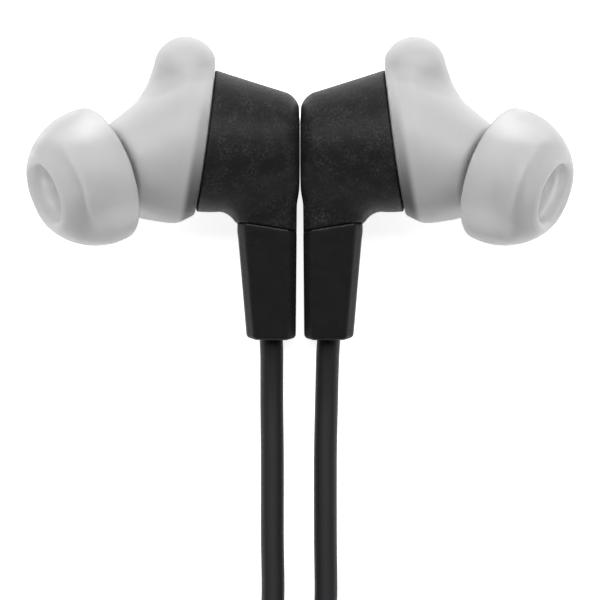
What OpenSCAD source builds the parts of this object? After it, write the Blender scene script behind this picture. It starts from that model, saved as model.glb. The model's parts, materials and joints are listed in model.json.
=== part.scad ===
// Wired in-ear earphones with gel sleeves, silicone tips and a 3.5 mm plug.
// They lie on a flat surface, z = 0, with the two housings back to back, the
// ear tips outwards and the cords towards -Y. The cord that isn't needed is
// wound into two flat coils held by ties.

/* [Housing] */
// Radius of the housing at its front edge
housing_r = 6.4; // [6.2:0.1:7]
// Distance from the flat back to the middle of the front edge
housing_depth = 8.45; // [8.2:0.05:10]
// Radius of the housing at its back end
back_r = 4.45; // [4.2:0.05:5.2]
// Rounding of the back edge
back_round = 1.3; // [0.8:0.1:1.6]
// How far the front edge leans back at its top, in degrees
front_cant = 7.5; // [5:0.5:9]
// Wall of the housing
wall = 0.95; // [0.8:0.05:1.1]
// Width of the stem at the seam
stem_w = 5.3; // [5:0.1:5.8]
// Thickness of the stem at the seam
stem_t = 4.9; // [4.6:0.1:5.4]
// Distance from the driver's axis to the seam with the boot
stem_len = 8.5; // [8:0.1:10]
// Radius of the fillet between the stem and the barrel
stem_fillet = 2.2; // [1.6:0.1:2.4]
// How far the stem's back lies in front of the housing's flat back
stem_inset = 0.1; // [0.05:0.05:0.3]

/* [Boot] */
// Length of the rubber boot below the seam
boot_len = 9.7; // [8.5:0.1:12]
// Width of the boot at its lower end
boot_end_w = 4.45; // [4.2:0.05:5]
// Thickness of the boot at its lower end
boot_end_t = 4.4; // [4.2:0.1:4.8]
// Rounding of the boot's corners
boot_round = 0.9; // [0.6:0.1:1.1]
// Length of the boot's tenon inside the stem
tenon_len = 2.6; // [2:0.1:3]
// Width of the tenon
tenon_w = 3.3; // [3:0.1:3.5]
// Thickness of the tenon
tenon_t = 2.9; // [2.7:0.1:3.1]
// Clearance round the tenon
tenon_fit = 0.05; // [0.03:0.01:0.08]

/* [Driver] */
// Diameter of the dynamic driver
driver_d = 9; // [8.6:0.1:9.2]
// Depth of the driver's basket
basket_h = 2.7; // [2.5:0.1:3]
// Wall of the basket
basket_wall = 0.35; // [0.3:0.05:0.45]
// Thickness of the foam ring in front of the driver
gasket_h = 0.45; // [0.3:0.05:0.6]
// Width of the foam ring
gasket_w = 0.6; // [0.5:0.05:0.7]
// Thickness of the diaphragm
diaphragm_t = 0.12; // [0.1:0.01:0.15]
// Radius of the magnet and its pole plate
magnet_r = 2.1; // [1.9:0.05:2.2]
// Height of the magnet
magnet_h = 1.2; // [1:0.1:1.3]
// Height of the pole plate
pole_h = 0.5; // [0.4:0.05:0.6]
// Wall of the yoke
yoke_wall = 0.4; // [0.3:0.05:0.5]
// Wall of the voice coil
voice_wall = 0.2; // [0.15:0.01:0.22]
// Height of the voice coil
voice_h = 1; // [0.8:0.1:1.1]
// Air gap on each side of the voice coil
voice_gap = 0.12; // [0.1:0.01:0.15]
// Thickness of the terminal board
board_t = 0.4; // [0.3:0.05:0.5]
// Diameter of a lead wire
lead_d = 0.3; // [0.2:0.05:0.4]

/* [Nozzle] */
// How far the nozzle turns towards +Z of the earpiece, in degrees
nozzle_lift = 28; // [25:1:31]
// How far the nozzle turns towards the stem, in degrees
nozzle_drop = 13; // [10:1:16]
// Height of the nozzle's axis over the driver's axis at the front edge
nozzle_rise = 0.4; // [0:0.1:0.8]
// Distance along the nozzle's axis to its base
nozzle_base = 8; // [7.6:0.1:8.3]
// Distance along the nozzle's axis to its open end
nozzle_end = 14.2; // [14:0.1:14.6]
// Outer radius of the nozzle
nozzle_r = 2.5; // [2.4:0.05:2.6]
// Radius of the sound bore
nozzle_bore_r = 1.95; // [1.8:0.05:2]
// Radius of the barb that holds the tip
barb_r = 2.7; // [2.65:0.05:2.75]
// Length of the barb
barb_len = 1.2; // [0.8:0.1:1.6]
// Radius of the front shell where the nozzle starts
neck_r = 3; // [2.8:0.1:3.2]
// Thickness of the nozzle's mesh screen
screen_t = 0.2; // [0.15:0.05:0.3]
// Depth of the screen's seat in the nozzle
screen_seat = 0.3; // [0.25:0.05:0.4]
// Length of the front shell's spigot inside the housing
spigot_len = 1.2; // [1:0.1:1.5]
// Clearance of the spigot in the housing
spigot_fit = 0.04; // [0.03:0.01:0.08]

/* [Gel sleeve] */
// Largest radius of the gel sleeve
gel_r = 7.5; // [7.3:0.1:8]
// Distance from the gel's back to its largest radius
gel_rim = 2.4; // [2:0.1:2.8]
// Thickness of the gel over the front shell
gel_wall = 1.2; // [1:0.1:1.3]
// Thickness of the gel's neck round the nozzle's base
gel_neck_wall = 0.7; // [0.6:0.05:0.9]
// How far the gel is thicker below, towards the stem
gel_sag = 0.35; // [0.2:0.05:0.4]
// Clearance between the gel and the shells
gel_fit = 0.1; // [0.06:0.02:0.12]
// Distance of the gel's cheek in front of the front edge
chin_out = 4.75; // [4.5:0.05:5]
// Distance of the cheek below the driver's axis
chin_drop = 2.9; // [2.6:0.1:3]
// Radius of the front shell at the cheek
chin_r = 2.7; // [2.5:0.1:2.8]
// Radius of the gel's ear lobe
lobe_r = 2.85; // [2.6:0.05:3.1]
// Height of the lobe's middle over the driver's axis
lobe_h = 6.8; // [6.4:0.1:7.6]
// Distance of the lobe's middle from the flat back
lobe_out = 10.25; // [10.1:0.05:10.8]

/* [Ear tip] */
// Diameter of the silicone tip
tip_d = 12.5; // [12:0.1:13.2]
// Distance along the nozzle's axis to the middle of the tip
tip_mid = 11.4; // [11.3:0.1:11.8]
// Distance from the middle of the tip to its mouth
tip_front = 5.2; // [4.9:0.1:5.4]
// Distance from the middle of the tip back to its rim
tip_back = 0.9; // [0.7:0.1:1.3]
// Wall of the tip's dome
tip_wall = 0.7; // [0.5:0.05:0.9]
// Wall of the tip's core
core_wall = 0.75; // [0.6:0.05:0.9]
// Clearance between the tip's core and the barb
tip_fit = 0.05; // [0.03:0.01:0.08]

/* [Pair] */
// Half of the gap between the two flat backs
pair_gap = 0.12; // [0.1:0.01:0.3]
// How far each earpiece turns so that the boots part, in degrees
splay = 0.5; // [0.3:0.1:1.2]
// How far each earpiece rolls until its boot touches the surface, in degrees
roll = 17; // [16:0.5:17]
// Distance of the driver's axis above the middle of the pair
axis_y = 4.4; // [4:0.1:4.8]

/* [Cords] */
// Diameter of each branch cord
branch_d = 2.1; // [1.9:0.05:2.15]
// Diameter of the main cord
main_d = 2.4; // [2.2:0.05:2.45]
// Clearance of a cord in a bore
cord_fit = 0.05; // [0.03:0.01:0.1]
// Radius of the bead that keeps the cord in the housing
bead_r = 1.6; // [1.5:0.1:1.7]
// Height of that bead
bead_h = 1.4; // [1:0.1:1.6]
// Outer radius of the branch coil at the cord's middle
branch_coil_r = 13.5; // [13.4:0.1:13.6]
// Turns of each spiral in the branch coil
branch_turns = 1.75; // [0.75:1:1.75]
// Distance between turns of the branch coil
branch_pitch = 2.7; // [2.65:0.01:2.8]
// Distance between layers of the branch coil
branch_layer = 2.6; // [2.6:0.01:2.61]
// Outer radius of the main coil at the cord's middle
main_coil_r = 16; // [15.9:0.1:16.1]
// Turns of each spiral in the main coil
main_turns = 2.25; // [1.25:1:2.25]
// Distance between turns of the main coil
main_pitch = 2.95; // [2.9:0.01:3.1]
// Distance between layers of the main coil
main_layer = 2.9; // [2.9:0.01:2.91]
// Thickness of a cable tie
tie_t = 0.4; // [0.3:0.05:0.4]
// Width of a cable tie
tie_w = 3; // [2:0.1:4]
// Clearance between a tie and the turns
tie_gap = 0.1; // [0.1:0.01:0.2]

/* [Splitter] */
// Length of the splitter
splitter_len = 12; // [12:0.1:12.2]
// Width of the splitter where the branches enter
splitter_w = 7.6; // [7:0.1:8]
// Width of the splitter where the main cord leaves
splitter_end_w = 5; // [4.6:0.1:5.6]
// Thickness of the splitter
splitter_t = 5; // [4.6:0.1:5.2]
// Rounding of the splitter's corners
splitter_round = 1.1; // [0.8:0.1:1.3]
// Length of the crimp inside
crimp_len = 4; // [3:0.2:5]
// Width of the crimp inside
crimp_w = 4.6; // [4.2:0.1:4.7]
// Thickness of the crimp inside
crimp_t = 2.6; // [2.3:0.1:2.8]
// Clearance round the crimp
crimp_fit = 0.1; // [0.05:0.05:0.2]

/* [Plug] */
// Radius of the plug's contacts
pin_r = 1.75; // [1.7:0.01:1.8]
// Length of the sleeve contact
sleeve_len = 7.4; // [7:0.1:8]
// Length of the ring contact
ring_len = 2; // [1.8:0.1:2.2]
// Length of an insulating ring
insulator_len = 0.6; // [0.5:0.05:0.8]
// Length of the tip contact
tip_contact_len = 3.4; // [3.2:0.1:3.6]
// Radius of the groove behind the tip contact
pin_groove_r = 1.2; // [1.1:0.05:1.3]
// Radius of the core that carries the contacts
pin_core_r = 0.9; // [0.8:0.05:1]
// Radius of the plug's grip
grip_r = 3.6; // [3.3:0.1:3.7]
// Length of the grip
grip_len = 13; // [12:0.1:14]
// Radius of the collar in front of the grip
collar_r = 2.6; // [2.3:0.1:2.8]
// Length of the collar
collar_len = 1.2; // [1:0.1:1.6]
// Length of the bending relief behind the grip
relief_len = 8.5; // [8:0.1:9]
// Radius of the relief at the grip
relief_r = 2.4; // [2.2:0.05:2.6]
// Radius of the relief at the cord
relief_end_r = 1.6; // [1.5:0.05:1.8]
// Clearance between the plug's pieces
plug_fit = 0.03; // [0.02:0.01:0.05]

/* [Hidden] */

// Facets of a round piece, and of the pieces inside a hull
$fn = 64;
hull_fn = 32;
tube_sides = 8;
coil_sides = 6;
rings_per_turn = 24;
most_of_turn = rings_per_turn - 4;
// A cut runs this far past what it cuts
past = 1;
// Gap between pieces that are stacked on each other
seat_gap = 0.03;
// Thickness of a slice that only guides a hull
slice = 0.1;
// Step between a bore and the hollow that it opens into
bore_step = 0.25;

rubber_dark = "#242424";
plastic_dark = "#333333";
gel_white = "#d8d8d8";
steel = "#c8cacd";
gold = "#d9b45c";
copper = "#b87333";

// Driver stack: distances along the driver's axis, backwards from the front edge
dome_room = 0.35;
driver_r = driver_d / 2;
spigot_r = housing_r - wall - spigot_fit;
spigot_bore_r = driver_r + 2 * seat_gap;
front_bore_r = driver_r - gasket_w / 2;
driver_bore_r = spigot_bore_r;
basket_front = gasket_h + 2 * seat_gap;
basket_back = basket_front + basket_h;
diaphragm_at = basket_front + dome_room;
voice_at = diaphragm_at + diaphragm_t + seat_gap;
voice_r = magnet_r + voice_gap;
yoke_bore_r = voice_r + voice_wall + voice_gap;
yoke_r = yoke_bore_r + yoke_wall;
pole_at = voice_at + voice_h - pole_h;
magnet_at = pole_at + pole_h + seat_gap;
yoke_floor_at = magnet_at + magnet_h + seat_gap;
yoke_back = yoke_floor_at + yoke_wall;
board_at = yoke_back + seat_gap;
board_w = 3.4;
board_h = 2.2;
board_room = 0.3;
cavity_back = board_at + board_t + board_room;
dome_h = 0.3;
cone_h = 0.15;
dome_bend = 0.6;
lead_side = 0.6;
lead_low = 1;

// Housing: a level underside, the wall at the round back edge, and the stem's flare upwards
front_band = 0.8;
belly_back = 2.3;
belly_drop = 1.2;
underside = housing_r - 0.05;
belly_r = underside - belly_drop;
edge_wall = 1.2;
stem_flare_w = 0.3;
stem_flare_t = 0.8;
web_sink = 1.15;
// Distance below the driver's axis at which the stem's passage opens into the barrel
passage_top = 2;
barb_back = 0.4;
screen_r = nozzle_bore_r + bore_step;

// Cord inside the boot and the stem
cord_x = stem_inset + boot_end_w / 2;
boot_end = stem_len + boot_len;
tenon_top = stem_len - tenon_len;
bead_bottom = tenon_top - seat_gap;
stop_past_tenon = 1;
boot_edge = 0.4;
boot_edge_len = 0.5;

// Gel and tip
rest_h = gel_r;
chin_lift = 0.4;
chin_at = [housing_depth + chin_out, -chin_drop, chin_lift];
gel_neck_len = 0.9;
gel_neck_r = neck_r + gel_fit + gel_neck_wall;
sag_at = gel_sag * [0, -cos(roll), sin(roll)];
flange_step = 0.5;
flange_r = housing_r - flange_step;
rim_steps = [0, 0.15, 0.4, 0.7, 1];
lobe_root_out = 0.5;
lobe_root_h = lobe_h / 3;
lobe_root_r = lobe_r + 0.9;
core_bore_r = barb_r + tip_fit;
core_r = core_bore_r + core_wall;
neck_room = 0.45;
core_back = nozzle_base + gel_neck_len + neck_room;
tip_r = tip_d / 2;
lip_r = 0.45;
// Where the inside of the dome ends at the core
dome_root = 2.4;
dome_close = 12;
dome_steps = 16;
rim_start = asin(tip_back / tip_r);
mouth_r = core_bore_r + 2 * lip_r;
mouth_angle = acos(mouth_r / tip_r);

// World place of the boots' open ends, where the cords leave
function turned(p) =
    [p.x * cos(splay) - p.y * sin(splay), p.x * sin(splay) + p.y * cos(splay), p.z];
function rolled(p) =
    [p.x, p.y * cos(roll) - p.z * sin(roll), p.y * sin(roll) + p.z * cos(roll)];
function placed(p) = turned(rolled(p)) + [pair_gap, axis_y, rest_h];
exit_right = placed([cord_x, -boot_end, 0]);
exit_left = [-exit_right.x, exit_right.y, exit_right.z];
exit_dir_right = turned(rolled([0, -1, 0]));
exit_dir_left = [-exit_dir_right.x, exit_dir_right.y, exit_dir_right.z];

// Routes of the free cords, after the boots
left_run = [
    [-2.55, -15, 1.6], [-2.55, -19, 1.15], [-2.5, -24, 1.1], [-2.5, -31, 1.1], [-2.5, -38, 1.1],
    [-3.4, -43, 1.1], [-6.2, -47.6, 1.15], [-9.8, -51.6, 1.3], [-12.4, -55.6, 1.45], [-13.4, -59, 1.55]
];
right_run = [
    [2.5, -15, 1.6], [2.4, -19, 1.15], [2.3, -24, 1.1], [2.3, -31, 1.1], [2.3, -38, 1.1],
    [1.6, -42.5, 1.15], [-0.6, -46.6, 1.6], [-4.2, -49.6, 2.6], [-8.2, -52, 3.5], [-11.6, -54.8, 4],
    [-13.3, -58, 4.15]
];
left_tail = [
    [-13.5, -69, 6.7], [-13.7, -73, 6], [-14.2, -77, 4.6], [-14.7, -81, 3.2]
];
right_tail = [
    [-13.4, -69, 9.3], [-13.2, -73, 8.5], [-12.8, -77, 6.6], [-12.3, -81, 4.2]
];
lead_route = [[-13.5, -101, 2.2], [-13.5, -104.5, 1.8]];
tail_route = [
    [18.4, -104, 10.3], [18.1, -100, 9.4], [17.9, -96, 7.6], [17.9, -92, 5.7], [18.1, -88, 4.4]
];
branch_coil_at = [0, -63];
main_coil_at = [2.5, -110];
splitter_at = [-13.5, -85, 2.6];
plug_at = [18.6, -84, 3.9];
// Turn of the plug, so that the way to it passes beside the ear tip
plug_turn = 9;
plug_dir = [sin(plug_turn), cos(plug_turn), 0];
branch_z = tie_t + tie_gap + branch_d / 2;
main_z = tie_t + tie_gap + main_d / 2;
entry_gap = 1.3;

// Coils: layers of spirals, in and out in turn, with a half turn of climb between
function soft(w) = w * w * (3 - 2 * w);
function coil_radius(u, outer, pitch, turns, layers) =
    let (lap = turns + 0.5, i = min(floor(u / lap), layers - 1), v = u - i * lap)
    let (inner = outer - pitch * turns, w = (v - turns) / 0.5, bulge = pitch / 2 * (w - w * w))
    v <= turns
        ? (i % 2 == 0 ? outer - pitch * v : inner + pitch * v)
        : (i % 2 == 0 ? inner - bulge : outer + bulge);
function coil_height(u, turns, layers, step) =
    let (lap = turns + 0.5, i = min(floor(u / lap), layers - 1), v = u - i * lap)
    (i + (v <= turns ? 0 : soft((v - turns) / 0.5))) * step;
function coil_wound(at, z, outer, pitch, turns, layers, step) =
    let (total = turns * layers + (layers - 1) / 2, n = round(total * rings_per_turn))
    [for (k = [0:n])
        let (u = k / rings_per_turn, a = 180 + 360 * u)
        let (r = coil_radius(u, outer, pitch, turns, layers))
        [at.x + r * cos(a), at.y + r * sin(a), z + coil_height(u, turns, layers, step)]];
function least_gap(p, d) =
    min([for (i = [0:len(p) - 1]) for (j = [i + most_of_turn:1:len(p) - 1]) norm(p[i] - p[j])]) - d;

// The two branch coils lie in each other, layer on layer
branch_step = 2 * branch_layer;
left_coil = coil_wound(branch_coil_at, branch_z, branch_coil_r, branch_pitch, branch_turns, 2, branch_step);
right_coil = [for (p = left_coil) p + [0, 0, branch_layer]];
main_coil_points = coil_wound(main_coil_at, main_z, main_coil_r, main_pitch, main_turns, 4, main_layer);
first = 0;
function last(p) = p[len(p) - 1];
function with_ends(p, before, after) = concat([p[first] + before], p, [last(p) + after]);
left_coil_path = with_ends(left_coil, [0, branch_d, 0], [0, -branch_d, 0]);
right_coil_path = with_ends(right_coil, [0, branch_d, 0], [0, -branch_d, 0]);
main_coil_path = with_ends(main_coil_points, [0, main_d, 0], [0, main_d, 0]);

left_run_path = concat([exit_left], left_run, [left_coil_path[first]]);
right_run_path = concat([exit_right], right_run, [right_coil_path[first]]);
left_tail_path = concat([last(left_coil_path)], left_tail, [splitter_at + [-entry_gap, 0, 0]]);
right_tail_path = concat([last(right_coil_path)], right_tail, [splitter_at + [entry_gap, 0, 0]]);
lead_path = concat([splitter_at + [0, -splitter_len, 0]], lead_route, [main_coil_path[first]]);
tail_path = concat([last(main_coil_path)], tail_route, [plug_at]);

echo(str("left branch coil, least gap to itself: ", least_gap(left_coil, branch_d), " mm"));
echo(str("right branch coil, least gap to itself: ", least_gap(right_coil, branch_d), " mm"));
echo(str("main coil, least gap to itself: ", least_gap(main_coil_points, main_d), " mm"));

// Helpers

// Unit vector along v
function unit(v) = v / norm(v);

// Direction of a path at point i, with its two end directions given
function heading(p, i, start, end) =
    i == 0 ? start : i == len(p) - 1 ? end : unit(unit(p[i + 1] - p[i]) + unit(p[i] - p[i - 1]));

// Tube of n sides along a path that is never upright
module tube(p, d, n, start = [0, -1, 0], end = [0, -1, 0]) {
    rings = [for (i = [0:len(p) - 1])
        let (t = heading(p, i, start, end), s = unit(cross(t, [0, 0, 1])), u = cross(s, t))
        [for (k = [0:n - 1])
            let (a = 360 * (k + 0.5) / n)
            p[i] + d / 2 * (s * cos(a) + u * sin(a))]];
    points = [for (ring = rings) for (q = ring) q];
    sides = [for (i = [0:len(p) - 2]) for (k = [0:n - 1])
        let (a = i * n + k, b = i * n + (k + 1) % n)
        each [[a, a + n, b], [b, a + n, b + n]]];
    cap_first = [for (k = [1:n - 2]) [0, k, k + 1]];
    cap_last = let (m = (len(p) - 1) * n) [for (k = [1:n - 2]) [m, m + k + 1, m + k]];
    polyhedron(points, concat(sides, cap_first, cap_last));
}

// Place of one earpiece on the surface; the left one is the mirror image
module on_right() {
    translate([pair_gap, axis_y, rest_h]) rotate([0, 0, splay]) rotate([roll, 0, 0]) children();
}
module on_left() {
    mirror([1, 0, 0]) on_right() children();
}

// Frame of the driver: its z axis is the driver's axis, forwards, from the front edge
module on_driver() {
    translate([housing_depth, 0, 0]) rotate([0, 90, front_cant]) children();
}
// Frame of the nozzle: its z axis is the nozzle's axis, outwards
module on_nozzle() {
    translate([housing_depth, nozzle_rise, 0]) rotate([0, 90 - nozzle_lift, -nozzle_drop]) children();
}
// Frame of the cord: its z axis points up the stem
module on_cord(y) {
    translate([cord_x, y, 0]) rotate([-90, 0, 0]) children();
}

// Ring between two radii
module ring(r_out, r_in, h) {
    difference() {
        cylinder(h = h, r = r_out);
        translate([0, 0, -past]) cylinder(h = h + 2 * past, r = r_in);
    }
}

// Slab across the stem with rounded corners, at height y, from x0, w wide and t thick
module stem_slice(y, x0, w, t, round_r, h = slice) {
    for (x = [x0 + round_r, x0 + w - round_r]) for (z = [-1, 1])
        translate([x, y, z * (t / 2 - round_r)])
            rotate([-90, 0, 0]) cylinder(h = h, r = round_r, $fn = hull_fn);
}

// Housing

// Outer form of the barrel, a cone with a round back edge and a level underside
module barrel_form() {
    hull() {
        on_driver() translate([0, 0, -front_band]) cylinder(h = front_band - gel_fit, r = housing_r);
        rotate([0, 90, 0]) rotate_extrude() {
            square([back_r - back_round, back_round + slice]);
            translate([back_r - back_round, back_round]) circle(r = back_round, $fn = hull_fn);
        }
        translate([housing_depth - belly_back, -belly_drop, 0])
            rotate([0, 90, 0]) cylinder(h = slice, r = belly_r);
    }
}

// Outer form of the stem down to the seam
module stem_form() {
    hull() {
        stem_slice(-stem_len, stem_inset, stem_w, stem_t, boot_round);
        stem_slice(-back_r / 2, stem_inset, stem_w + stem_flare_w, stem_t + stem_flare_t, boot_round);
    }
}

// Fillet between the stem and the underside of the barrel
module stem_web() {
    stem_side = stem_inset + stem_w;
    drop = stem_len - underside;
    deep = stem_t + 2 * past;
    difference() {
        translate([stem_side - stem_w / 2, -stem_len, -stem_t / 2])
            cube([stem_w / 2 + stem_fillet, drop + web_sink, stem_t]);
        translate([stem_side + stem_fillet, -underside - stem_fillet, -deep / 2])
            cylinder(h = deep, r = stem_fillet);
        translate([stem_side, -stem_len - past, -deep / 2])
            cube([2 * stem_fillet, drop - stem_fillet + past, deep]);
    }
}

module rear_shell() {
    color(plastic_dark) difference() {
        union() {
            barrel_form();
            stem_form();
            stem_web();
        }
        on_driver() translate([0, 0, -spigot_len - seat_gap])
            cylinder(h = spigot_len + past, r = spigot_r + spigot_fit);
        on_driver() translate([0, 0, -cavity_back]) cylinder(h = cavity_back, r = driver_bore_r);
        hull() {
            on_driver() translate([0, 0, -cavity_back - slice])
                cylinder(h = 2 * slice, r = driver_bore_r - bore_step, $fn = hull_fn);
            translate([wall, 0, 0])
                rotate([0, 90, 0]) cylinder(h = slice, r = back_r - edge_wall, $fn = hull_fn);
        }
        translate([cord_x - tenon_w / 2 - tenon_fit, -stem_len - past, -tenon_t / 2 - tenon_fit])
            cube([tenon_w + 2 * tenon_fit, stem_len + past - passage_top, tenon_t + 2 * tenon_fit]);
        on_cord(-tenon_top) cylinder(h = tenon_top - passage_top, r = bead_r + cord_fit);
    }
}

// Outer form of the front shell, grown by g; it narrows along the nozzle's
// axis all round, so that the gel draws off it
module front_form(g) {
    hull() {
        on_driver() translate([0, 0, -g]) cylinder(h = slice + g, r = flange_r + g);
        translate(chin_at) sphere(r = chin_r + g, $fn = hull_fn);
        on_nozzle() translate([0, 0, nozzle_base - slice + g])
            cylinder(h = slice, r = neck_r + g, $fn = hull_fn);
    }
}

module front_shell() {
    color(plastic_dark) difference() {
        union() {
            front_form(0);
            on_driver() translate([0, 0, -spigot_len]) cylinder(h = spigot_len + slice / 2, r = spigot_r);
            on_nozzle() translate([0, 0, nozzle_base - past])
                cylinder(h = nozzle_end - nozzle_base + past, r = nozzle_r);
            on_nozzle() translate([0, 0, nozzle_end - barb_back - barb_len])
                cylinder(h = barb_len, r = barb_r);
        }
        on_driver() translate([0, 0, -spigot_len - past])
            cylinder(h = spigot_len + past, r = spigot_bore_r);
        hull() {
            on_driver() translate([0, 0, -slice]) cylinder(h = 2 * slice, r = front_bore_r, $fn = hull_fn);
            translate(chin_at) sphere(r = chin_r - wall, $fn = hull_fn);
            on_nozzle() translate([0, 0, nozzle_base - wall])
                cylinder(h = slice, r = nozzle_bore_r + bore_step, $fn = hull_fn);
        }
        on_nozzle() translate([0, 0, nozzle_base / 2]) cylinder(h = nozzle_end, r = nozzle_bore_r);
        on_nozzle() translate([0, 0, nozzle_end - screen_seat])
            cylinder(h = screen_seat + past, r = screen_r);
    }
}

module nozzle_screen() {
    color(steel) on_nozzle() translate([0, 0, nozzle_end - screen_seat + seat_gap])
        cylinder(h = screen_t, r = screen_r - seat_gap);
}

// Gel sleeve: a round rim, a cheek, a neck round the nozzle's base and a lobe for the ear
module gel_body() {
    rim_rise = gel_r - housing_r - gel_fit;
    hull() {
        for (w = rim_steps) translate(w * sag_at) on_driver()
            translate([0, 0, w * gel_rim])
                cylinder(h = slice, r = gel_r - rim_rise * (1 - sqrt(1 - (1 - w) * (1 - w))));
        translate(chin_at + sag_at) sphere(r = chin_r + gel_fit + gel_wall, $fn = hull_fn);
        on_nozzle() translate([0, 0, nozzle_base + gel_neck_len - slice])
            cylinder(h = slice, r = gel_neck_r, $fn = hull_fn);
    }
}

module gel_lobe() {
    hull() {
        translate([lobe_out, lobe_h, 0]) sphere(r = lobe_r, $fn = hull_fn);
        translate([lobe_out + lobe_root_out, lobe_root_h, 0]) sphere(r = lobe_root_r, $fn = hull_fn);
    }
}

module ear_gel() {
    color(gel_white) difference() {
        union() {
            gel_body();
            gel_lobe();
        }
        front_form(gel_fit);
        on_driver() translate([0, 0, -2 * gel_r]) cylinder(h = 2 * gel_r, r = 3 * gel_r);
        on_nozzle() cylinder(h = 3 * gel_r, r = nozzle_r + 2 * gel_fit);
    }
}

// Silicone tip: a dome that folds back over a core, turned about the nozzle's axis
module ear_tip() {
    step = (mouth_angle + rim_start) / dome_steps;
    lip_at = [core_bore_r + lip_r, tip_front - lip_r];
    core_at = core_back - tip_mid;
    color(gel_white) on_nozzle() translate([0, 0, tip_mid]) rotate_extrude() polygon(concat(
        [[core_bore_r, core_at], [core_bore_r, lip_at.y]],
        [for (a = [180:-30:60]) lip_at + lip_r * [cos(a), sin(a)]],
        [for (k = [0:dome_steps]) let (a = mouth_angle - k * step) tip_r * [cos(a), sin(a)]],
        [for (a = [-rim_start:step:mouth_angle - dome_close]) (tip_r - tip_wall) * [cos(a), sin(a)]],
        [[core_r, tip_front - dome_root], [core_r, core_at]]
    ));
}

// Rubber boot that relieves the cord, with a tenon that is glued in the stem
module boot() {
    color(rubber_dark) difference() {
        union() {
            hull() {
                stem_slice(-stem_len - slice - seat_gap, stem_inset, stem_w, stem_t, boot_round);
                stem_slice(-boot_end + boot_edge_len, stem_inset, boot_end_w, boot_end_t, boot_round);
                stem_slice(-boot_end, stem_inset + boot_edge, boot_end_w - 2 * boot_edge,
                    boot_end_t - 2 * boot_edge, boot_round);
            }
            translate([cord_x - tenon_w / 2, -stem_len - slice, -tenon_t / 2])
                cube([tenon_w, tenon_len + slice, tenon_t]);
        }
        on_cord(-boot_end - past) cylinder(h = boot_end, r = branch_d / 2 + cord_fit);
    }
}

// End of the cord inside the boot, with the bead that can't pass the tenon
module cable_stop() {
    color(rubber_dark) {
        on_cord(-boot_end) cylinder(h = boot_end - tenon_top + stop_past_tenon, r = branch_d / 2);
        on_cord(-bead_bottom) cylinder(h = bead_h, r = bead_r);
    }
}

// Driver

module driver_basket() {
    color(steel) on_driver() translate([0, 0, -basket_back]) difference() {
        cylinder(h = basket_h, r = driver_r);
        translate([0, 0, basket_wall]) cylinder(h = basket_h, r = driver_r - basket_wall);
        translate([0, 0, -past]) cylinder(h = basket_h, r = yoke_r + seat_gap);
    }
}

module driver_gasket() {
    color("#4a4a4a") on_driver() translate([0, 0, -gasket_h - seat_gap])
        ring(driver_r, driver_r - gasket_w, gasket_h);
}

// Thin cone and dome that move the air, in the mouth of the basket
module diaphragm() {
    edge_r = driver_r - basket_wall - seat_gap;
    foot_r = voice_r + voice_wall;
    dome_mid = [voice_r * dome_bend, dome_h * 2 / 3];
    cone_mid = [(voice_r + edge_r) / 2, cone_h];
    top = [[0, dome_h], dome_mid, [voice_r, 0], [foot_r, 0], cone_mid, [edge_r, 0]];
    below = [for (k = [len(top) - 1:-1:0]) top[k] - [0, diaphragm_t]];
    color("#c9b87a") on_driver() translate([0, 0, -diaphragm_at]) rotate_extrude()
        polygon(concat(top, below));
}

module voice_coil() {
    color(copper) on_driver() translate([0, 0, -voice_at - voice_h])
        ring(voice_r + voice_wall, voice_r, voice_h);
}

module pole_plate() {
    color(steel) on_driver() translate([0, 0, -pole_at - pole_h]) cylinder(h = pole_h, r = magnet_r);
}

module magnet() {
    color("#9a9ca0") on_driver() translate([0, 0, -magnet_at - magnet_h])
        cylinder(h = magnet_h, r = magnet_r);
}

module yoke() {
    color(steel) on_driver() translate([0, 0, -yoke_back]) difference() {
        cylinder(h = yoke_back - pole_at, r = yoke_r);
        translate([0, 0, yoke_wall]) cylinder(h = yoke_back, r = yoke_bore_r);
    }
}

module terminal_board() {
    color("#2f6b3c") on_driver() translate([-board_h / 2, -board_w / 2, -board_at - board_t])
        cube([board_h, board_w, board_t]);
}

// Two wires from the board to the end of the cord
module lead_wires() {
    top = [housing_depth - cavity_back, -lead_low, 0];
    bottom = [cord_x, -bead_bottom + bead_h + 4 * seat_gap, 0];
    run = top - bottom;
    color(copper) for (z = [-lead_side, lead_side])
        translate(bottom + [0, 0, z]) rotate([0, 0, -atan(run.x / run.y)]) rotate([-90, 0, 0])
            cylinder(h = norm(run), r = lead_d / 2);
}

// Cords

module left_branch_run() {
    color(rubber_dark) tube(left_run_path, branch_d, tube_sides, exit_dir_left);
}
module right_branch_run() {
    color(rubber_dark) tube(right_run_path, branch_d, tube_sides, exit_dir_right);
}
module left_branch_coil() {
    color(rubber_dark) tube(left_coil_path, branch_d, coil_sides);
}
module right_branch_coil() {
    color(rubber_dark) tube(right_coil_path, branch_d, coil_sides);
}
module left_branch_tail() {
    color(rubber_dark) tube(left_tail_path, branch_d, tube_sides);
}
module right_branch_tail() {
    color(rubber_dark) tube(right_tail_path, branch_d, tube_sides);
}
module main_lead() {
    color(rubber_dark) tube(lead_path, main_d, tube_sides);
}
module main_coil() {
    color(rubber_dark) tube(main_coil_path, main_d, coil_sides, [0, -1, 0], [0, 1, 0]);
}
module main_tail() {
    color(rubber_dark) tube(tail_path, main_d, tube_sides, [0, 1, 0], plug_dir);
}

// Flat tie round a coil at one angle
module tie(at, angle, r_in, r_out, height) {
    side_gap = 1.5 * tie_gap;
    size = [r_out - r_in + 2 * side_gap, tie_w, height + 2 * tie_gap];
    translate([at.x, at.y, 0]) rotate(angle) translate([r_in - side_gap, -tie_w / 2, tie_t]) difference() {
        translate([-tie_t, 0, -tie_t]) cube([size.x + 2 * tie_t, size.y, size.z + 2 * tie_t]);
        translate([0, -past, 0]) cube([size.x, size.y + 2 * past, size.z]);
    }
}

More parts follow.
